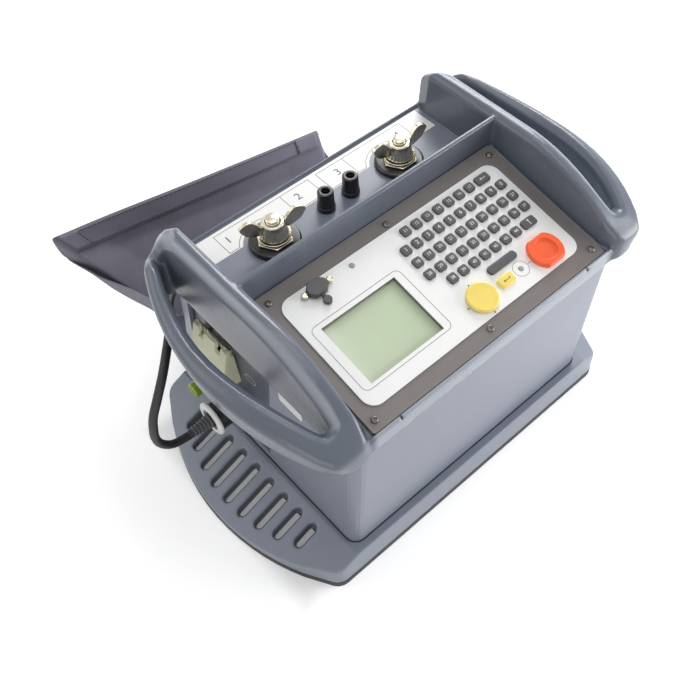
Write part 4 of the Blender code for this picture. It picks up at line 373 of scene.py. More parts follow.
lip_front = add_node(frame_plastic_and_painted_light, "MapRange", {
    "Value": lip_y, "From Min": -128.2 * MM, "From Max": -127.4 * MM, "To Min": 1.0, "To Max": 0.0,
})
lip_reach = add_node(frame_plastic_and_painted_light, "Math", {0: wall_x}, operation="ABSOLUTE").outputs[0]
lip_reach = add_node(frame_plastic_and_painted_light, "MapRange", {
    "Value": lip_reach, "From Min": 125 * MM, "From Max": 130 * MM, "To Min": 1.0, "To Max": 0.0,
})
lip_share = add_node(frame_plastic_and_painted_light, "Math", {
    0: lip_front.outputs["Result"], 1: lip_reach.outputs["Result"],
}, operation="MULTIPLY").outputs[0]
painted_light_share = add_node(frame_plastic_and_painted_light, "Math", {0: painted_light_share, 1: lip_share}, operation="MAXIMUM").outputs[0]
frame_shader = frame_plastic_and_painted_light.node_tree.nodes["Principled BSDF"]
frame_tone = frame_shader.inputs["Base Color"].links[0].from_socket
# The paler grey of the painted light.
painted_light_tone = add_node(frame_plastic_and_painted_light, "MixRGB", {"Fac": painted_light_share, "Color1": frame_tone, "Color2": linear("#9aa0ab")})
frame_plastic_and_painted_light.node_tree.links.new(painted_light_tone.outputs["Color"], frame_shader.inputs["Base Color"])
frame_moulding = softened(
    "frame_moulding", "top_frame", 0.8 * MM, 4, 0.35,
    (30, lambda x, y, z: (abs(x) - 132 * MM) / (6 * MM)),
    (150, lambda x, y, z: min((abs(x) - 136 * MM) / (6 * MM), (y - 80 * MM) / (8 * MM))),
    (14, lambda x, y, z: min((96 * MM - abs(x)) / (4 * MM), (-128.2 * MM - y) / MM)),
)
fit(frame_moulding, "case", "case_grey", "top_frame", finish=frame_plastic_and_painted_light)

# Terminal label: a white film along the back of the trough, cut round the insulators, with plain outlines
STUD_X = (-68, 69)
STUD_Y = 56
TROUGH_FLOOR = 222
LABEL_LEFT = -118
LABEL_RIGHT = 126
LABEL_FRONT = 69.3
LABEL_BACK = 97
LABEL_NOTCH = 26


def notched(left, front, right, back, notch_x, notch):
    """Outline of a strip whose front edge bows round an insulator."""
    outline = [(left, back), (left, front)]
    reach = math.asin((front - STUD_Y) / notch)
    for i in range(25):
        angle = math.pi - reach - (math.pi - 2 * reach) * i / 24
        outline.append((notch_x + notch * math.cos(angle), STUD_Y + notch * math.sin(angle)))
    return outline + [(right, front), (right, back)]


def plate(name, outline, place, low, high):
    """A flat plate with the outline in millimetres, between two heights of its place."""
    bm = bmesh.new()
    face = bm.faces.new([bm.verts.new((x * MM, y * MM, low * MM)) for x, y in outline])
    raised = bmesh.ops.extrude_face_region(bm, geom=[face])["geom"]
    top = [part for part in raised if isinstance(part, bmesh.types.BMVert)]
    bmesh.ops.translate(bm, verts=top, vec=(0, 0, (high - low) * MM))
    bmesh.ops.recalc_face_normals(bm, faces=bm.faces)
    bmesh.ops.transform(bm, matrix=place, verts=bm.verts)
    mesh = bpy.data.meshes.new(name)
    bm.to_mesh(mesh)
    bm.free()
    return mesh


def line_mesh(name, points, width, place, low, closed=True):
    """A printed line of a width along points in millimetres, with mitred corners."""
    count = len(points)
    rings = []
    for side in (-0.5, 0.5):
        ring = []
        for i, point in enumerate(points):
            before = Vector(points[i - 1 if closed or i else 0])
            after = Vector(points[(i + 1) % count if closed or i < count - 1 else i])
            one = Vector(point) - before
            two = after - Vector(point)
            one = one if one.length else two
            two = two if two.length else one
            normals = [Vector((-step.y, step.x)).normalized() for step in (one, two)]
            mitre = (normals[0] + normals[1]).normalized()
            reach = side * width / max(0.35, mitre.dot(normals[0]))
            edge = Vector(point) + mitre * reach
            ring.append(place @ Vector((edge.x * MM, edge.y * MM, low * MM)))
        rings.append(ring)
    return skin(name, rings, closed)


def joined(name, meshes):
    """One mesh out of several."""
    bm = bmesh.new()
    for mesh in meshes:
        bm.from_mesh(mesh)
        bpy.data.meshes.remove(mesh)
    mesh = bpy.data.meshes.new(name)
    bm.to_mesh(mesh)
    bm.free()
    return mesh


def numeral(text, height, place):
    """A plain numeral or sign as a thin mesh, in the middle of its place."""
    letter = bpy.data.curves.new("numeral", "FONT")
    letter.body = text
    letter.size = height * 1.4 * MM
    letter.align_x = "CENTER"
    letter.align_y = "CENTER"
    letter.resolution_u = 3
    holder = add("numeral", letter)
    mesh = bpy.data.meshes.new_from_object(holder.evaluated_get(bpy.context.evaluated_depsgraph_get()))
    bpy.data.objects.remove(holder)
    mesh.transform(place)
    return mesh


finishes["overlay_white"] = surface("overlay_white", "#f6f6f5", 0.38, 0.3 * MM, 0.006 * MM, mottle=0.012)
finishes["key_grey"] = surface("key_grey", "#4b4b4f", 0.55, 0.35 * MM, 0.015 * MM)
trough = Matrix.Translation((0, 0, TROUGH_FLOOR * MM))
label_halves = [
    notched(LABEL_LEFT, LABEL_FRONT, 0, LABEL_BACK, STUD_X[0], LABEL_NOTCH),
    notched(0, LABEL_FRONT, LABEL_RIGHT, LABEL_BACK, STUD_X[1], LABEL_NOTCH),
]
label_meshes = [plate("trough_label", half, trough, 0.02, 0.2) for half in label_halves]
trough_outline = rounded(-128.8, 14, 128.8, 97.2, 3)
trough_sheet = plate("trough_sheet", trough_outline, trough, 0.02, 0.06)
fit(add("trough_sheet", trough_sheet), "case", "case_grey")
fit(add("trough_label", joined("trough_label", label_meshes)), "case", "overlay_white")
box_lines = [
    notched(-102.5, 70.5, -3.5, 93.5, STUD_X[0], LABEL_NOTCH + 3),
    notched(5.5, 70.5, 103, 93.5, STUD_X[1], LABEL_NOTCH + 3),
]
label_lines = [line_mesh("label_line", box, 0.5, trough, 0.25) for box in box_lines]
for x in (-34, 35):
    label_lines.append(line_mesh("label_line", [(x, 71), (x, 93.2)], 0.5, trough, 0.25, closed=False))
for text, x in (("1", -95), ("2", -22), ("3", 22), ("4", 92)):
    label_lines.append(numeral(text, 8, trough @ Matrix.Translation((x * MM, 83 * MM, 0.25 * MM))))
fit(add("label_print", joined("label_print", label_lines)), "case", "key_grey")

# Painted shade: the rolled slot edges are the tray's plastic in a darker grey, standing in for the shade inside the
# slots.
slot_edges = add("slot_liners", joined("slot_liners", slot_liners))
fit(slot_edges, "case", "case_grey", finish=finishes["slate_and_painted_shade_grey"])

# Body joint: painted shadow, a thin black strip where the case body stands on the tray, standing in for the shade in
# the joint
BODY_FOOT_Z = 38.1 * MM
joint_loop = rounded(-143.6, -119.1, 143.6, 119.1, 10.6)
joint_shadow_line = line_mesh("joint_shadow_line", joint_loop, 1.3, Matrix.Translation((0, 0, BODY_FOOT_Z)), 0)
fit(add("joint_shadow_line", joint_shadow_line), "case", "black_rubber")

# Lip slits: two thin black plates across the moulded lip in front of the panel, painted shade for two narrow gaps
LIP_SLIT_X = (-102, 102)
LIP_SLIT_HALF = 0.7
LIP_SLIT = [(-127.7, 214.16), (-129, 214.16), (-130.6, 212.55), (-130.6, 211.5), (-127.7, 211.5)]
across_lip = Matrix(((0, 0, 1, 0), (1, 0, 0, 0), (0, 1, 0, 0), (0, 0, 0, 1)))
lip_slit_shades = [
    plate("lip_slit", LIP_SLIT, across_lip, x - LIP_SLIT_HALF, x + LIP_SLIT_HALF) for x in LIP_SLIT_X
]
fit(add("lip_slit_shades", joined("lip_slit_shades", lip_slit_shades)), "case", "black_rubber")

# Front panel: painted metal in warm dark grey, held by six button-head screws
PANEL_TILT = math.radians(11.25)
panel = Matrix.Translation((0, -127.6 * MM, 214.1 * MM)) @ Matrix.Rotation(PANEL_TILT, 4, "X")
SCREW_X = (-118.7, 0, 118.7)
SCREW_V = (8.4, 127.6)


def eased(profile, radius):
    """A profile in millimetres with its corners rounded."""
    points = [Vector(point) for point in profile]
    line = [points[0]]
    for before, corner, after in zip(points, points[1:], points[2:]):
        cut = min(radius, (before - corner).length * 0.45, (after - corner).length * 0.45)
        start = corner + (before - corner).normalized() * cut
        end = corner + (after - corner).normalized() * cut
        line += [start, (start + 2 * corner + end) / 4, end]
    return [tuple(point) for point in line] + [tuple(points[-1])]


def turned(name, profile, place, steps=64, shape=None):
    """A turned mesh from radius and height pairs in millimetres; shape scales the radius by angle, height."""
    rings = []
    for radius, height in profile:
        ring = []
        for i in range(steps if radius else 1):
            angle = 2 * math.pi * i / steps
            reach = radius * (shape(angle, height) if shape else 1) * MM
            ring.append(place @ Vector((reach * math.cos(angle), reach * math.sin(angle), height * MM)))
        rings.append(ring)
    return skin(name, rings)


def hexagonal(angle, height):
    """Share of a round radius that a hexagon keeps at an angle."""
    return math.cos(math.pi / 6) / math.cos(angle % (math.pi / 3) - math.pi / 6)


def button_screw(name, place, radius, height):
    """A button-head screw with a hexagon socket."""
    dome = [(radius, 0), (radius, height * 0.3), (radius * 0.86, height * 0.75), (radius * 0.6, height)]
    dome = eased(dome, 0.3) + [(radius * 0.5, height)]
    socket = [(radius * 0.5, height), (radius * 0.46, height * 0.3), (0, height * 0.25)]
    return joined(name, [
        turned(name, dome, place, 36),
        turned(name, socket, place, 36, lambda a, h: hexagonal(a, h) if h < height else 1),
    ])


finishes["panel_brown"] = surface("panel_brown", "#76706e", 0.5, 0.4 * MM, 0.03 * MM, mottle=0.05)
dress("panel_brown", "front_panel")
finishes["nickel"] = surface(
    "nickel", "#c9c2ae", 0.24, 0.25 * MM, 0.006 * MM, mottle=0.12, patch=4 * MM, Metallic=1.0
)
screws = [
    button_screw("panel_screw", panel @ Matrix.Translation((x * MM, v * MM, 0.05 * MM)), 3.0, 1.7)
    for x in SCREW_X for v in SCREW_V
]
screw_black = surface("screw_black", "#6f6a67", 0.35, 0.3 * MM, 0.006 * MM, Metallic=0.9)
fit(add("panel_screws", joined("panel_screws", screws)), "case", "steel", finish=screw_black)

# Panel overlay: white polycarbonate film over the keys and the display, printed with one thin outline
OVERLAY_TOP = 1.0
overlay_rings = []
for loop, height in (
    (rounded(-116.2, 14.3, 113.6, 122.4, 11), 0.3), (rounded(-116.2, 14.3, 113.6, 122.4, 11), OVERLAY_TOP),
    (rounded(-102, 30.4, -28.4, 87.2, 0.5), OVERLAY_TOP), (rounded(-102, 30.4, -28.4, 87.2, 0.5), 0.3),
    (rounded(-116.2, 14.3, 113.6, 122.4, 11), 0.3),
):
    overlay_rings.append([panel @ Vector((x * MM, v * MM, height * MM)) for x, v in loop])
overlay_film = skin("overlay_film", overlay_rings)
overlay_film.shade_flat()
fit(add("overlay_film", overlay_film), "case", "overlay_white", "panel_overlay")
display_line = rounded(-109.8, 27.3, -21.5, 91.3, 5)
overlay_print = [line_mesh("display_line", display_line, 0.4, panel, OVERLAY_TOP + 0.06)]
nav_x, nav_v = 12.8, 30.9
for quarter in range(4):
    angle = math.radians(90 * quarter)
    spot = (nav_x + 14.9 * math.cos(angle), nav_v + 14.9 * math.sin(angle))
    arrow = [(spot[0] + 1.1 * math.cos(angle + turn), spot[1] + 1.1 * math.sin(angle + turn)) for turn in (0, 2.2, -2.2)]
    overlay_print.append(plate("nav_arrow", arrow, panel, OVERLAY_TOP, OVERLAY_TOP + 0.06))
overlay_print.append(line_mesh("lamp_line", [(65.5, 31), (69, 31)], 0.4, panel, OVERLAY_TOP + 0.06, closed=False))
fit(add("overlay_print", joined("overlay_print", overlay_print)), "case", "key_grey")

# Display: a grey-green liquid crystal behind glass, switched off, set back in the panel's window
display_glass = surface("display_green", "#c3d2b2", 0.16, 0.5 * MM, 0.004 * MM, mottle=0.02, patch=30 * MM)
finishes["display_green"] = display_glass
display_shader = display_glass.node_tree.nodes["Principled BSDF"]
display_shader.inputs["Coat Weight"].default_value = 0.6
display_shader.inputs["Coat Roughness"].default_value = 0.04
dress("display_green", "lcd_glass")

# Keys: grey silicone caps that stand through the overlay, each with a printed number or arrow
KEY_X0, KEY_PITCH = -5.0, 12.04
KEY_V0, KEY_ROW = 112.6, -13.68
KEY_SIZE, KEY_WIDE, KEY_HIGH = 8.6, 14.5, 3.2


def cushion(name, half_width, half_depth, corner, low, high, ease, crown, place):
    """A rounded key cap with eased edges and a slightly crowned or dished top."""
    levels = [(0, low)]
    for i in range(5):
        angle = math.radians(90 * i / 4)
        levels.append((ease * (1 - math.cos(angle)), high - ease + ease * math.sin(angle)))
    rings = []
    for inset, height in levels:
        loop = rounded(-half_width + inset, -half_depth + inset, half_width - inset, half_depth - inset,
                       max(0.2, corner - inset))
        rings.append([place @ Vector((x * MM, y * MM, height * MM)) for x, y in loop])
    for share in (0.7, 0.35, 0):
        height = high + crown * (1 - share ** 2)
        ring = [place @ Vector((x * share * MM, y * share * MM, height * MM)) for x, y in loop]
        rings.append(ring if share else ring[:1])
    return skin(name, rings)


def on_panel(x, v, turn=0.0):
    """Place on the panel, in millimetres from its front edge's middle."""
    return panel @ Matrix.Translation((x * MM, v * MM, 0)) @ Matrix.Rotation(turn, 4, "Z")


def arrow_mesh(length, place, height, bent=False):
    """A plain arrow that points to the left, with its tail bent up for an enter key."""
    half = length / 2
    head = [(-half, 0), (-half + 1.5, 1.2), (-half + 1.5, -1.2)]
    tail = [(-half + 1.3, 0), (half, 0)] + ([(half, 1.8)] if bent else [])
    return joined("arrow", [
        plate("arrow_head", head, place, height, height + 0.04),
        line_mesh("arrow_tail", tail, 0.55, place, height + 0.04, closed=False),
    ])


key_meshes = []
key_marks = []
number = 10
for row, columns in enumerate((range(1, 8), range(10), range(10), range(10), range(1, 8))):
    v = KEY_V0 + KEY_ROW * row
    for column in columns:
        place = on_panel(KEY_X0 + KEY_PITCH * column, v)
        key_meshes.append(cushion("key", KEY_SIZE / 2, KEY_SIZE / 2, 2, 0.3, KEY_HIGH, 0.7, 0.12, place))
        if row != 1:
            number += 1
        legend = str((column + 1) % 10) if row == 1 else str(number)
        lifted = place @ Matrix.Translation((0, 0, (KEY_HIGH + 0.15) * MM))
        key_marks.append(numeral(legend, 3.6 if row == 1 else 2.9, lifted))
    if row in (0, 4):
        place = on_panel(KEY_X0 + KEY_PITCH * 8.25, v)
        key_meshes.append(cushion("key", KEY_WIDE / 2, KEY_SIZE / 2, 2, 0.3, KEY_HIGH, 0.7, 0.12, place))
        turn = 0 if row == 0 else -math.pi / 2
        key_marks.append(arrow_mesh(6, place @ Matrix.Rotation(turn, 4, "Z"), KEY_HIGH + 0.13))
fit(add("keys", joined("keys", key_meshes)), "case", "key_grey", "key_mat")
key_ink = surface("key_ink", "#e6e6e6", 0.6, 0.3 * MM, 0.004 * MM)
fit(add("key_marks", joined("key_marks", key_marks)), "case", "overlay_white", finish=key_ink)

space = cushion("space_bar", 15.5, 3.8, 3.2, 0.3, KEY_HIGH, 0.8, 0.1, on_panel(48.6, 44.1))
fit(add("space_cap", space), "space_bar", "key_grey", "space_bar")

# Yellow keys: a tilting navigation disc with a rolled edge, and the enter key with its arrow
finishes["button_yellow"] = surface("button_yellow", "#f6dc72", 0.3, 0.4 * MM, 0.008 * MM, mottle=0.03)
disc_profile = [
    (0, 1.5), (6, 1.5), (6, 2.15), (13.4, 2.15), (13.6, 3.6), (13.3, 4.5), (12.4, 5.1), (11, 5), (8, 4.8),
    (0, 4.7),
]
disc = turned("nav_cap", eased(disc_profile, 0.8), on_panel(nav_x, nav_v), 96)
fit(add("nav_cap", disc), "nav_disc", "button_yellow", "nav_disc")
enter = cushion("enter_cap", 7.75, 4.8, 2.2, 0.3, KEY_HIGH, 0.8, 0.1, on_panel(39.9, 30.6))
fit(add("enter_cap", enter), "enter_key", "button_yellow", "enter_key")
enter_arrow = arrow_mesh(7, on_panel(39.9, 30.2), KEY_HIGH + 0.12, bent=True)
fit(add("enter_arrow", enter_arrow), "enter_key", "key_grey")

# Test button: a soft orange moulding with a round dish for the thumb
finishes["button_orange"] = surface("button_orange", "#f8622f", 0.36, 0.4 * MM, 0.008 * MM, mottle=0.03)
fit(softened("test_cap", "test_button", 0.35 * MM, 6, 0.3), "test_button", "button_orange", "test_button")

# Lamps: small grey domes, the test lamp inside a printed grey ring
finishes["led_grey"] = surface("led_grey", "#9a9a9c", 0.25, 0.4 * MM, 0.004 * MM)
for name, x, v in (("power_led", -47.5, 114.7), ("test_led", 57.6, 31)):
    dome = turned(name + "_dome", [(2.5, 0.3), (2.5, 1.0), (2.2, 1.5), (1.4, 1.8), (0, 1.9)], on_panel(x, v), 32)
    fit(add(name + "_dome", dome), "case", "led_grey", name)
ring_points = [(57.6 + 7 * math.cos(math.radians(a)), 31 + 7 * math.sin(math.radians(a))) for a in range(0, 360, 6)]
lamp_ring = line_mesh("lamp_ring", ring_points, 0.5, panel, OVERLAY_TOP + 0.05)
fit(add("lamp_ring", lamp_ring), "case", "led_grey")

# Serial socket: a nine-way socket with two jack screws, under a rubber cap on a tether
dress("nickel", "serial_socket")
fit(softened("serial_cover", "serial_cap", 0.3 * MM, 5, 0.4), "serial_cap", "key_grey", "serial_cap")
jacks = []
for side in (-1, 1):
    place = on_panel(-82.8 + side * 12.2, 114.8) @ Matrix.Translation((0, 0, 3.6 * MM))
    jacks.append(button_screw("jack_screw", place, 2.9, 1.8))
fit(add("jack_screws", joined("jack_screws", jacks)), "case", "nickel")

# Current terminals: a threaded stud through a black insulator, its fixing nut, a cupped washer, a wing nut
finishes["black_plastic"] = surface("black_plastic", "#1b1b1d", 0.28, 0.4 * MM, 0.01 * MM)
STUD_RADIUS = 6.0
THREAD_PITCH = 1.75


def thread(angle, height):
    """Share of the radius that a triangular thread keeps."""
    wave = (height / THREAD_PITCH - angle / (2 * math.pi)) % 1.0
    return 1 - 0.15 * abs(2 * wave - 1)


def chamfered(mesh, width):
    """The mesh with its sharp edges cut back."""
    bm = bmesh.new()
    bm.from_mesh(mesh)
    sharp = [edge for edge in bm.edges if edge.calc_face_angle(0.0) > math.radians(40)]
    bmesh.ops.bevel(bm, geom=sharp, offset=width, segments=2, affect="EDGES", profile=0.5)
    bm.to_mesh(mesh)
    bm.free()
    return mesh


WING_TURN = (-15, -5)
NUT_LOW = 232.15
LEAF = [
    (6.8, 4.6), (14.5, 4.4), (23.6, 8.4), (29, 17), (26.2, 20.4), (19.7, 22.9), (14.5, 18.6), (10.6, 12.8), (6.8, 12),
]
for name, x, turn in zip(("c1", "c2"), STUD_X, WING_TURN):
    post = Matrix.Translation((x * MM, STUD_Y * MM, 0))
    insulator = [(5, 222.35), (21.7, 222.35), (21.7, 225.4), (20.2, 226.95), (8, 226.95)]
    insulator_mesh = turned("insulator", eased(insulator, 0.7), post, 96)
    fit(add("insulator_ring_" + name, insulator_mesh), "case", "black_plastic", "insulator_" + name)
    flange = eased([(6, 227.3), (15.4, 227.3), (16, 227.8), (16, 228.8), (15.4, 229.25), (6, 229.25)], 0.3)
    steps = [229 + 0.2 * i for i in range(104)]
    rod = [(STUD_RADIUS, height) for height in steps] + [(STUD_RADIUS * 0.85, 250.3), (0, 250.5)]
    stud_mesh = joined("stud", [
        turned("flange_nut", flange, post, 72, hexagonal),
        turned("stud_rod", rod, post, 48, lambda a, h: thread(a, h) if h < 249 else 1),
    ])
    fit(add("threaded_stud_" + name, stud_mesh), "case", "nickel", "stud_" + name)
    cup = [
        (6.6, 230), (11.5, 229.7), (13.3, 229.65), (14, 230.3), (14, 231.2),
        (13.5, 231.75), (12.6, 231.3), (6.6, 231.3), (6.6, 230),
    ]
    cup_mesh = turned("cup_washer", eased(cup, 0.25), post, 96)
    fit(add("cup_washer_" + name, cup_mesh), "case", "nickel", "washer_" + name)
    bell = [
        (6.6, 246.9), (8.5, 246.9), (9.6, 245.8), (10.7, 239.8), (10.4, 239.4), (11.8, 233.5),
        (12, 232.7), (11.7, NUT_LOW), (6.6, NUT_LOW), (6.6, 246.9),
    ]
    nut_place = post @ Matrix.Rotation(math.radians(turn), 4, "Z")
    ear_place = nut_place @ Matrix.Translation((0, 0, NUT_LOW * MM)) @ Matrix.Rotation(math.pi / 2, 4, "X")
    nut_parts = [
        turned("hub", eased(bell, 0.3), nut_place, 132, lambda a, h: 1 - 0.05 * (233 < h < 239.6) * (math.sin(22 * a) > 0))
    ]
    for side in (-1, 1):
        leaf = [(side * out, up) for out, up in eased(LEAF, 2.2)]
        nut_parts.append(chamfered(plate("ear", leaf, ear_place, -1.8, 1.8), 0.5 * MM))
    fit(add("wing_nut_" + name + "_cast", joined("wing_nut", nut_parts)), "wing_nut_" + name, "nickel", "wing_nut_" + name)

# Potential posts: black screw caps on a black foot, with a brass pin at the bottom of the socket
finishes["brass"] = surface("brass", "#b98f4a", 0.28, 0.3 * MM, 0.006 * MM, Metallic=1.0)
for name, x in (("p1", -13), ("p2", 14)):
    post = Matrix.Translation((x * MM, 57 * MM, 0))
    foot = eased([(3.4, 222.35), (7.9, 222.35), (7.9, 226.1), (7.3, 226.75), (3.4, 226.75)], 0.4)
    fit(add("post_foot_" + name, turned("post_foot", foot, post, 64)), "case", "black_plastic", "post_" + name)
    pin = eased([(3.35, 226.5), (3.35, 236.7), (2.9, 237.1), (0, 237.1)], 0.2)
    fit(add("post_pin_" + name, turned("post_pin", pin, post, 40)), "case", "brass")
    cap = [
        (3.9, 227.2), (7.5, 227.15), (7.5, 229.4), (7.25, 229.8), (6.8, 241.2),
        (6.1, 242.1), (3.8, 242.1), (3.4, 241.6), (3.4, 237.7),
    ]
    cap_mesh = turned("post_cap", eased(cap, 0.4), post, 96, lambda a, h: 1 - 0.02 * (h < 229.6) * abs(math.sin(9 * a)))
    fit(add("post_cap_" + name + "_turned", cap_mesh), "post_cap_" + name, "black_plastic", "post_cap_" + name)

# Connector panel: a plate screwed into the recess of the case's left end, with bare label plates
END_X = -138.7
finishes["white_plastic"] = surface("white_plastic", "#ecece9", 0.4, 0.4 * MM, 0.01 * MM, mottle=0.02)
dress("slate_and_painted_shade_grey", "side_panel")


def on_end(y, z, x=END_X):
    """Place on the left end, in millimetres, facing out."""
    return Matrix.Translation((x * MM, y * MM, z * MM)) @ Matrix.Rotation(-math.pi / 2, 4, "Y")


end_screws = [
    button_screw("end_screw", on_end(y, z, END_X - 0.05), 2.6, 1.5)
    for y, z in ((84, 180), (92, 56), (-13, 180), (0, 56))
]
fit(add("end_screws", joined("end_screws", end_screws)), "case", "steel")
# Painted shadow: a black strip all round the recess's edge, standing in for the shade that the recess's edges cast.
recess_shadow_loop = [(49.2, -4), (188.9, -24.7), (188.9, 82.9), (49.2, 97.7)]
recess_shadow_line = line_mesh("recess_shadow_line", recess_shadow_loop, 2.2, on_end(0, 0), 0.12)
fit(add("recess_shadow_line", recess_shadow_line), "case", "black_rubber")
fuse_ring = [(142 + 4 * math.cos(math.radians(a)), 12 + 7 * math.sin(math.radians(a))) for a in range(0, 360, 10)]
end_print = line_mesh("end_print", fuse_ring, 0.6, on_end(0, 0), 0.06)
fit(add("end_print", end_print), "case", "white_plastic")
wall_label = plate("wall_label", rounded(172, -64, 196, -36, 1.5), on_end(0, 0, -143), 0.03, 0.25)
fit(add("wall_label", wall_label), "case", "white_plastic")

# Mains switch: a black rocker in a flanged body, under a hinged cover of clear yellowed plastic
fit(softened("switch_housing", "switch_body", 0.4 * MM, 4, 0.4), "case", "black_plastic", "switch_body")
fit(softened("rocker_key", "switch_rocker", 0.3 * MM, 5, 0.4), "switch_rocker", "black_plastic", "switch_rocker")
finishes["cover_clear"] = surface(
    "cover_clear", "#eeeed6", 0.22, 4 * MM, 0.01 * MM, mottle=0.03, Transmission_Weight=0.5, IOR=1.3
)
fit(softened("clear_cover", "switch_cover", 0.45 * MM, 5, 0.4), "switch_cover", "cover_clear", "switch_cover")
dress("nickel", "cover_hinge")

# Mains inlet and plug: a black inlet, and a round plug with a white ring round its flange
dress("black_plastic", "mains_inlet")
fit(softened("plug_body", "mains_plug", 0.5 * MM, 5, 0.4), "case", "black_plastic", "mains_plug")

PLUG_FACE = 172.0
plug_ring = [
    (10, PLUG_FACE - 1.5), (10, PLUG_FACE + 0.4), (14.8, PLUG_FACE + 0.4), (16.3, PLUG_FACE - 0.8),
    (16.4, PLUG_FACE - 3), (15.2, PLUG_FACE - 3.8), (13.4, PLUG_FACE - 4),
]
ring_mesh = turned("plug_ring", eased(plug_ring, 0.6), on_end(35, 88, 0), 72)
fit(add("plug_ring", ring_mesh), "case", "white_plastic")

# Earth terminal: a brass post with a green knurled cap
finishes["earth_green"] = surface("earth_green", "#86a82e", 0.38, 0.4 * MM, 0.01 * MM)
dress("brass", "earth_post")
fit(softened("earth_knob", "earth_cap", 0.3 * MM, 4, 0.4), "earth_cap", "earth_green", "earth_cap")

# Mains lead: a round black lead of 7.5 mm that climbs from its plug over the pouch's side, and is stored
# in the pouch as two layers of turns
CORD_DIAMETER = 7.5 * MM
LEAD_ROUTE = [
    (-192.6, 35, 88), (-196.35, 35, 88), (-210.6, 34, 93.4), (-219.8, 33, 106), (-223.6, 31, 121.5),
    (-223.6, 28, 139), (-220.5, 27, 156), (-212, 29, 171), (-200, 36, 182.5), (-187, 48, 188),
    (-174, 63, 188.5), (-163, 80, 184.5), (-152, 98, 177.5), (-137, 114, 170), (-118, 123, 166),
    (-82.8, 125.95, 163.75), (-60.3, 125.95, 163.75), (-53.1, 125.95, 163.75),
]
COIL_X = -45 * MM
COIL_Y = 125.95 * MM
COIL_Z = 106.15 * MM
COIL_OUTER = 57.6 * MM
COIL_INNER = 33 * MM
COIL_PITCH = 8.2 * MM
COIL_LAYER = 9 * MM
COIL_DIP = 2.46 * MM
COIL_TURNS = 6.125
TURN_POINTS = 24


def smooth_line(points, steps):
    """A Catmull-Rom curve through the points."""
    points = [Vector(p) for p in points]
    ends = [2 * points[0] - points[1], *points, 2 * points[-1] - points[-2]]
    line = []
    for before, start, end, after in zip(ends, ends[1:], ends[2:], ends[3:]):
        for i in range(steps):
            t = i / steps
            line.append(0.5 * (
                2 * start + (end - before) * t + (2 * before - 5 * start + 4 * end - after) * t ** 2
                + (3 * start - before - 3 * end + after) * t ** 3
            ))
    return line + [points[-1]]


def coil_point(turn):
    """Middle of the lead after a number of turns: in along one layer, and out again along the next."""
    if turn <= 3:
        radius, layer = COIL_OUTER - COIL_PITCH * turn, 0.0
    elif turn <= 3.5:
        across = (turn - 3) * 2
        radius = COIL_INNER - COIL_DIP * math.sin(math.pi * across)
        layer = (1 - math.cos(math.pi * across)) / 2
    else:
        radius, layer = COIL_INNER + COIL_PITCH * (turn - 3.5), 1.0
    angle = 2 * math.pi * turn
    return Vector((
        COIL_X + radius * math.sin(angle), COIL_Y + COIL_LAYER * layer, COIL_Z + radius * math.cos(angle)
    ))


lead_line = [point * MM for point in smooth_line(LEAD_ROUTE, 8)][:-1]
lead_line += [Vector((COIL_X - CORD_DIAMETER, COIL_Y, COIL_Z + COIL_OUTER))]
coil_steps = round(COIL_TURNS * TURN_POINTS)
lead_line += [coil_point(i / TURN_POINTS) for i in range(coil_steps + 1)]
end_angle = 2 * math.pi * COIL_TURNS
tail = Vector((math.cos(end_angle), 0, -math.sin(end_angle)))
lead_line.append(lead_line[-1] + tail * CORD_DIAMETER)
lead_curve = bpy.data.curves.new("mains_lead", "CURVE")
lead_curve.dimensions = "3D"
lead_curve.bevel_depth = CORD_DIAMETER / 2
lead_curve.bevel_resolution = 4
lead_curve.use_fill_caps = True
lead_spline = lead_curve.splines.new("POLY")
lead_spline.points.add(len(lead_line) - 1)
for spline_point, place in zip(lead_spline.points, lead_line):
    spline_point.co = (*place, 1)
lead_spline.use_smooth = True
lead_curve.materials.append(finishes["black_rubber"])
mains_lead = add("mains_lead", lead_curve)
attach(mains_lead, "case")
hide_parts("mains_cord", "cord_coil")

boot_low, boot_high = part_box("cord_boot")
boot_radius = (boot_high[1] - boot_low[1]) / 2 / MM
boot_start, boot_end = -boot_high[0] / MM, -boot_low[0] / MM
boot_profile = [(3.9, boot_start), (boot_radius, boot_start)]
BOOT_RIBS = 6
rib_pitch = (boot_end - boot_start) / (BOOT_RIBS + 0.5)
for i in range(BOOT_RIBS):
    rib = boot_radius + (4.8 - boot_radius) * i / BOOT_RIBS
    start = boot_start + rib_pitch * i
    boot_profile += [(rib, start + rib_pitch * 0.6), (rib - 1.1, start + rib_pitch * 0.7), (rib - 1.1, start + rib_pitch)]
boot_profile += [(4.6, boot_end), (3.9, boot_end)]
boot_mesh = turned("cord_sleeve", eased(boot_profile, 0.4), on_end(35, 88, 0), 48)
cord_sleeve = fit(add("cord_sleeve", boot_mesh), "case", "key_grey", "cord_boot")
plug_moulding = softened("plug_moulding", "supply_plug", 0.5 * MM, 5, 0.4)
fit(plug_moulding, "case", "black_rubber", "supply_plug")

# Coil tie: a hook-and-loop strap round both layers of the stored turns, at the foot of the coil
TIE_WIDTH = 12 * MM
TIE_THICKNESS = 1.2 * MM
TIE_CLEARANCE = 0.4 * MM


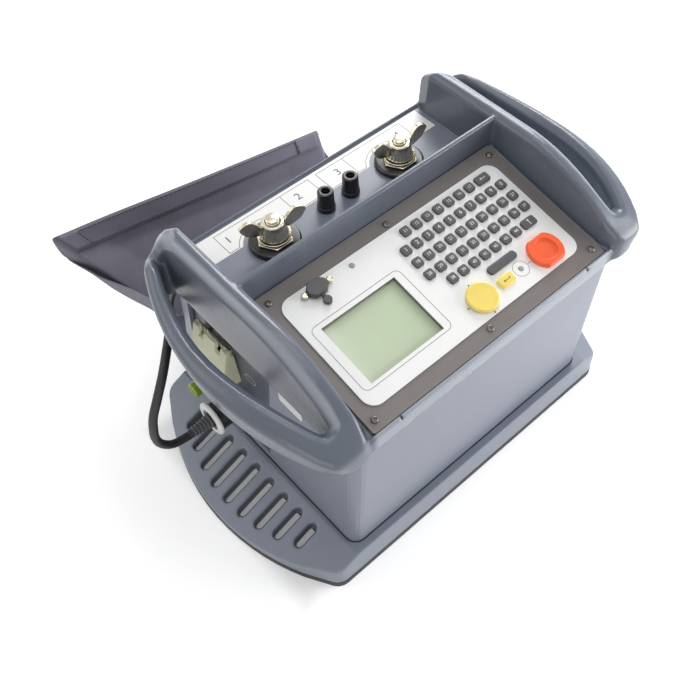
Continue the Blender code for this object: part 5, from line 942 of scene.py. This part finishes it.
tie_inner = COIL_INNER - CORD_DIAMETER / 2 - TIE_CLEARANCE
tie_outer = COIL_OUTER + CORD_DIAMETER / 2 + TIE_CLEARANCE
tie_near = COIL_Y - CORD_DIAMETER / 2 - TIE_CLEARANCE
tie_far = COIL_Y + COIL_LAYER + CORD_DIAMETER / 2 + TIE_CLEARANCE
tie_section = rounded(tie_near, tie_inner, tie_far, tie_outer, CORD_DIAMETER / 2)
tie_rings = []
for side in (-0.5, 0.5):
    tie_rings.append([(COIL_X + side * TIE_WIDTH, y, COIL_Z - radius) for y, radius in tie_section])
coil_tie = add("coil_tie", skin("coil_tie", tie_rings))
strap = coil_tie.modifiers.new("strap", "SOLIDIFY")
strap.thickness = TIE_THICKNESS
strap.offset = 0
tie_cloth = surface("tie_cloth", "#26262a", 0.95, 0.5 * MM, 0.15 * MM)
fit(baked(coil_tie), "case", "black_rubber", finish=tie_cloth)

# Lead pouch: coated nylon, sewn as back panel, floor, two gussets and an outer panel that leans away;
# its hem is a folded band with a stitched patch at each end
POUCH_CLOTH_THICKNESS = 1.2 * MM
POUCH_FLOOR_Z = 43.5 * MM
POUCH_FLOOR_LEFT = -112 * MM
POUCH_FLOOR_RIGHT = 88 * MM
POUCH_BACK_Y = 119.6 * MM
POUCH_FLOOR_Y = 159 * MM
POUCH_ROWS = 36
HEM_BAND = 27 * MM
BACK_RIM = [(-153, 108.6, 141), (-60, 110.5, 126), (30, 112.2, 111.5), (108, 113.2, 99)]
RIGHT_RIM = [(108, 113.2, 99), (112, 150, 90), (117, 195, 82), (122, 232, 86), (125, 245, 104)]
OUTER_RIM = [(125, 245, 104), (50, 249, 113), (-40, 254, 124.5), (-120, 259, 135), (-179, 262, 142)]
LEFT_RIM = [(-179, 262, 142), (-175, 256, 118), (-166, 225, 114), (-162, 187, 120), (-157.5, 145, 136), (-153, 108.6, 141)]
FLOOR_CORNERS = [
    Vector((POUCH_FLOOR_LEFT, POUCH_BACK_Y, POUCH_FLOOR_Z)), Vector((POUCH_FLOOR_RIGHT, POUCH_BACK_Y, POUCH_FLOOR_Z)),
    Vector((POUCH_FLOOR_RIGHT, POUCH_FLOOR_Y, POUCH_FLOOR_Z)), Vector((POUCH_FLOOR_LEFT, POUCH_FLOOR_Y, POUCH_FLOOR_Z)),
]


def along(line, share):
    """Point at a share of a line's number of points."""
    place = share * (len(line) - 1)
    i = min(int(place), len(line) - 2)
    return line[i].lerp(line[i + 1], place - i)


pouch_rims = [[p * MM for p in smooth_line(rim, 12)] for rim in (BACK_RIM, RIGHT_RIM, OUTER_RIM, LEFT_RIM)]


def pouch_point(side, share, height):
    """Point of the pouch: its side (back, right, outer, left), share along it, height from floor to rim."""
    low = FLOOR_CORNERS[side].lerp(FLOOR_CORNERS[(side + 1) % 4], share)
    point = low.lerp(along(pouch_rims[side], share), height)
    middle = math.sin(math.pi * share)
    swell = math.sin(math.pi * min(1.0, height / 0.86))
    if side == 2:
        folds = noise.noise(Vector((point.x * 14, point.z * 30, 3.0))) * 5 * MM
        folds += noise.noise(Vector((point.x * 40 - point.z * 40, point.z * 18, 7.0))) * 2.2 * MM
        crease = 0.68 + 0.12 * share
        bend = min(height / crease, (1 - height) / (1 - crease))
        sag = bend * min(1.0, 6 * share, 6 * (1 - share)) * 9 * MM + folds * swell * middle
        point += Vector((0, 0.62, -0.78)) * sag
    elif side in (1, 3):
        inward = 1 if side == 3 else -1
        folds = noise.noise(Vector((point.y * 30, point.z * 25, side))) * 5 * MM
        point += Vector((inward, 0, 0)) * (9 * MM * middle + folds * middle) * swell
    return point


pouch_columns = []
for side, count in enumerate((30, 18, 60, 22)):
    pouch_columns += [(side, i / count) for i in range(count)]
pouch_rings = [
    [pouch_point(side, share, row / POUCH_ROWS) for side, share in pouch_columns] for row in range(POUCH_ROWS + 1)
]
pouch_mesh = skin("pouch", pouch_rings)
pouch_bm = bmesh.new()
pouch_bm.from_mesh(pouch_mesh)
bmesh.ops.holes_fill(pouch_bm, edges=[e for e in pouch_bm.edges if e.is_boundary and
                                      max(v.co.z for v in e.verts) < POUCH_FLOOR_Z + 0.1 * MM])
pouch_bm.to_mesh(pouch_mesh)
pouch = add("pouch", pouch_mesh)
pouch.modifiers.new("round", "SUBSURF").levels = 1
cloth = pouch.modifiers.new("cloth", "SOLIDIFY")
cloth.thickness = POUCH_CLOTH_THICKNESS
cloth.offset = 0


def weave(name, colour, pitch, relief):
    """A plain weave: two crossing ribs of threads."""
    material = surface(name, colour, 0.62, pitch, relief, mottle=0.12, patch=30 * MM)
    shader = material.node_tree.nodes["Principled BSDF"]
    place = add_node(material, "TexCoord").outputs["Object"]
    heights = []
    for direction in ("X", "Z"):
        thread = add_node(material, "TexWave", {"Vector": place, "Scale": 0.314 / pitch, "Distortion": 0.4},
                          bands_direction=direction)
        heights.append(thread.outputs["Fac"])
    threads = add_node(material, "Math", operation="MULTIPLY")
    for socket, height in zip(threads.inputs, heights):
        material.node_tree.links.new(height, socket)
    bump = add_node(material, "Bump", {"Height": threads.outputs["Value"], "Distance": relief})
    material.node_tree.links.new(bump.outputs["Normal"], shader.inputs["Normal"])
    shader.inputs["Sheen Weight"].default_value = 0.25
    return material


finishes["pouch_cloth"] = weave("pouch_cloth", "#6b6977", 0.9 * MM, 0.12 * MM)
fit(baked(pouch), "case", "pouch_cloth", "lead_pouch")


def pouch_normal(share, height):
    """Direction from the outer panel into the pouch."""
    step = 0.01
    across = pouch_point(2, share + step, height) - pouch_point(2, share - step, height)
    up = pouch_point(2, share, min(1.0, height + step)) - pouch_point(2, share, height - step)
    return up.cross(across).normalized()


def sewn_patch(name, shares, heights, proud):
    """A strip of cloth that lies on the inside of the outer panel, between two shares and two heights."""
    rings = []
    for row in range(7):
        height = heights[0] + (heights[1] - heights[0]) * row / 6
        ring = []
        for column in range(41):
            share = shares[0] + (shares[1] - shares[0]) * column / 40
            ring.append(pouch_point(2, share, height) + pouch_normal(share, height) * proud)
        rings.append(ring)
    patch = add(name, skin(name, rings, closed=False))
    thick = patch.modifiers.new("thick", "SOLIDIFY")
    thick.thickness = proud
    thick.offset = 0
    return fit(baked(patch), "case", "pouch_cloth")


HEM_HEIGHT = 0.84
hem_band = sewn_patch("pouch_hem", (0.015, 0.985), (HEM_HEIGHT, 0.998), 1.1 * MM)
for end, shares in (("right", (0.02, 0.105)), ("left", (0.9, 0.98))):
    sewn_patch("hem_patch_" + end, shares, (HEM_HEIGHT + 0.01, 0.99), 2.0 * MM)

STITCH_LENGTH = 3.2 * MM
STITCH_PITCH = 4.6 * MM
STITCH_RADIUS = 0.35 * MM


def stitches(name, line, finish):
    """A row of stitches along a line of points, as short threads."""
    run = sum((end - start).length for start, end in zip(line, line[1:]))
    curve = bpy.data.curves.new(name, "CURVE")
    curve.dimensions = "3D"
    curve.bevel_depth = STITCH_RADIUS
    curve.bevel_resolution = 1
    curve.use_fill_caps = True
    for i in range(int(run / STITCH_PITCH)):
        stitch = curve.splines.new("POLY")
        stitch.points.add(1)
        for stitch_end, distance in zip(stitch.points, (i * STITCH_PITCH, i * STITCH_PITCH + STITCH_LENGTH)):
            stitch_end.co = (*along(line, distance / run), 1)
    holder = add(name, curve)
    mesh = bpy.data.meshes.new_from_object(holder.evaluated_get(bpy.context.evaluated_depsgraph_get()))
    bpy.data.objects.remove(holder)
    fit(add(name, mesh), "case", "pouch_cloth", finish=finish)


def inside_line(start, end, proud, count=60):
    """Points on the inside of the outer panel between two places, each a share and a height."""
    places = []
    for i in range(count + 1):
        share = start[0] + (end[0] - start[0]) * i / count
        height = start[1] + (end[1] - start[1]) * i / count
        places.append(pouch_point(2, share, height) + pouch_normal(share, height) * proud)
    return places


thread_finish = surface("sewing_thread", "#2a2a30", 0.8, 0.3 * MM, 0.02 * MM)
stitches("hem_stitches", inside_line((0.02, HEM_HEIGHT + 0.02), (0.98, HEM_HEIGHT + 0.02), 1.7 * MM, 200), thread_finish)
stitches("hem_edge_stitches", inside_line((0.02, 0.975), (0.98, 0.975), 1.7 * MM, 200), thread_finish)
for end, share in (("right", 0.1), ("left", 0.906)):
    stitches("patch_stitches_" + end, inside_line((share, HEM_HEIGHT + 0.02), (share, 0.98), 3.2 * MM, 20), thread_finish)
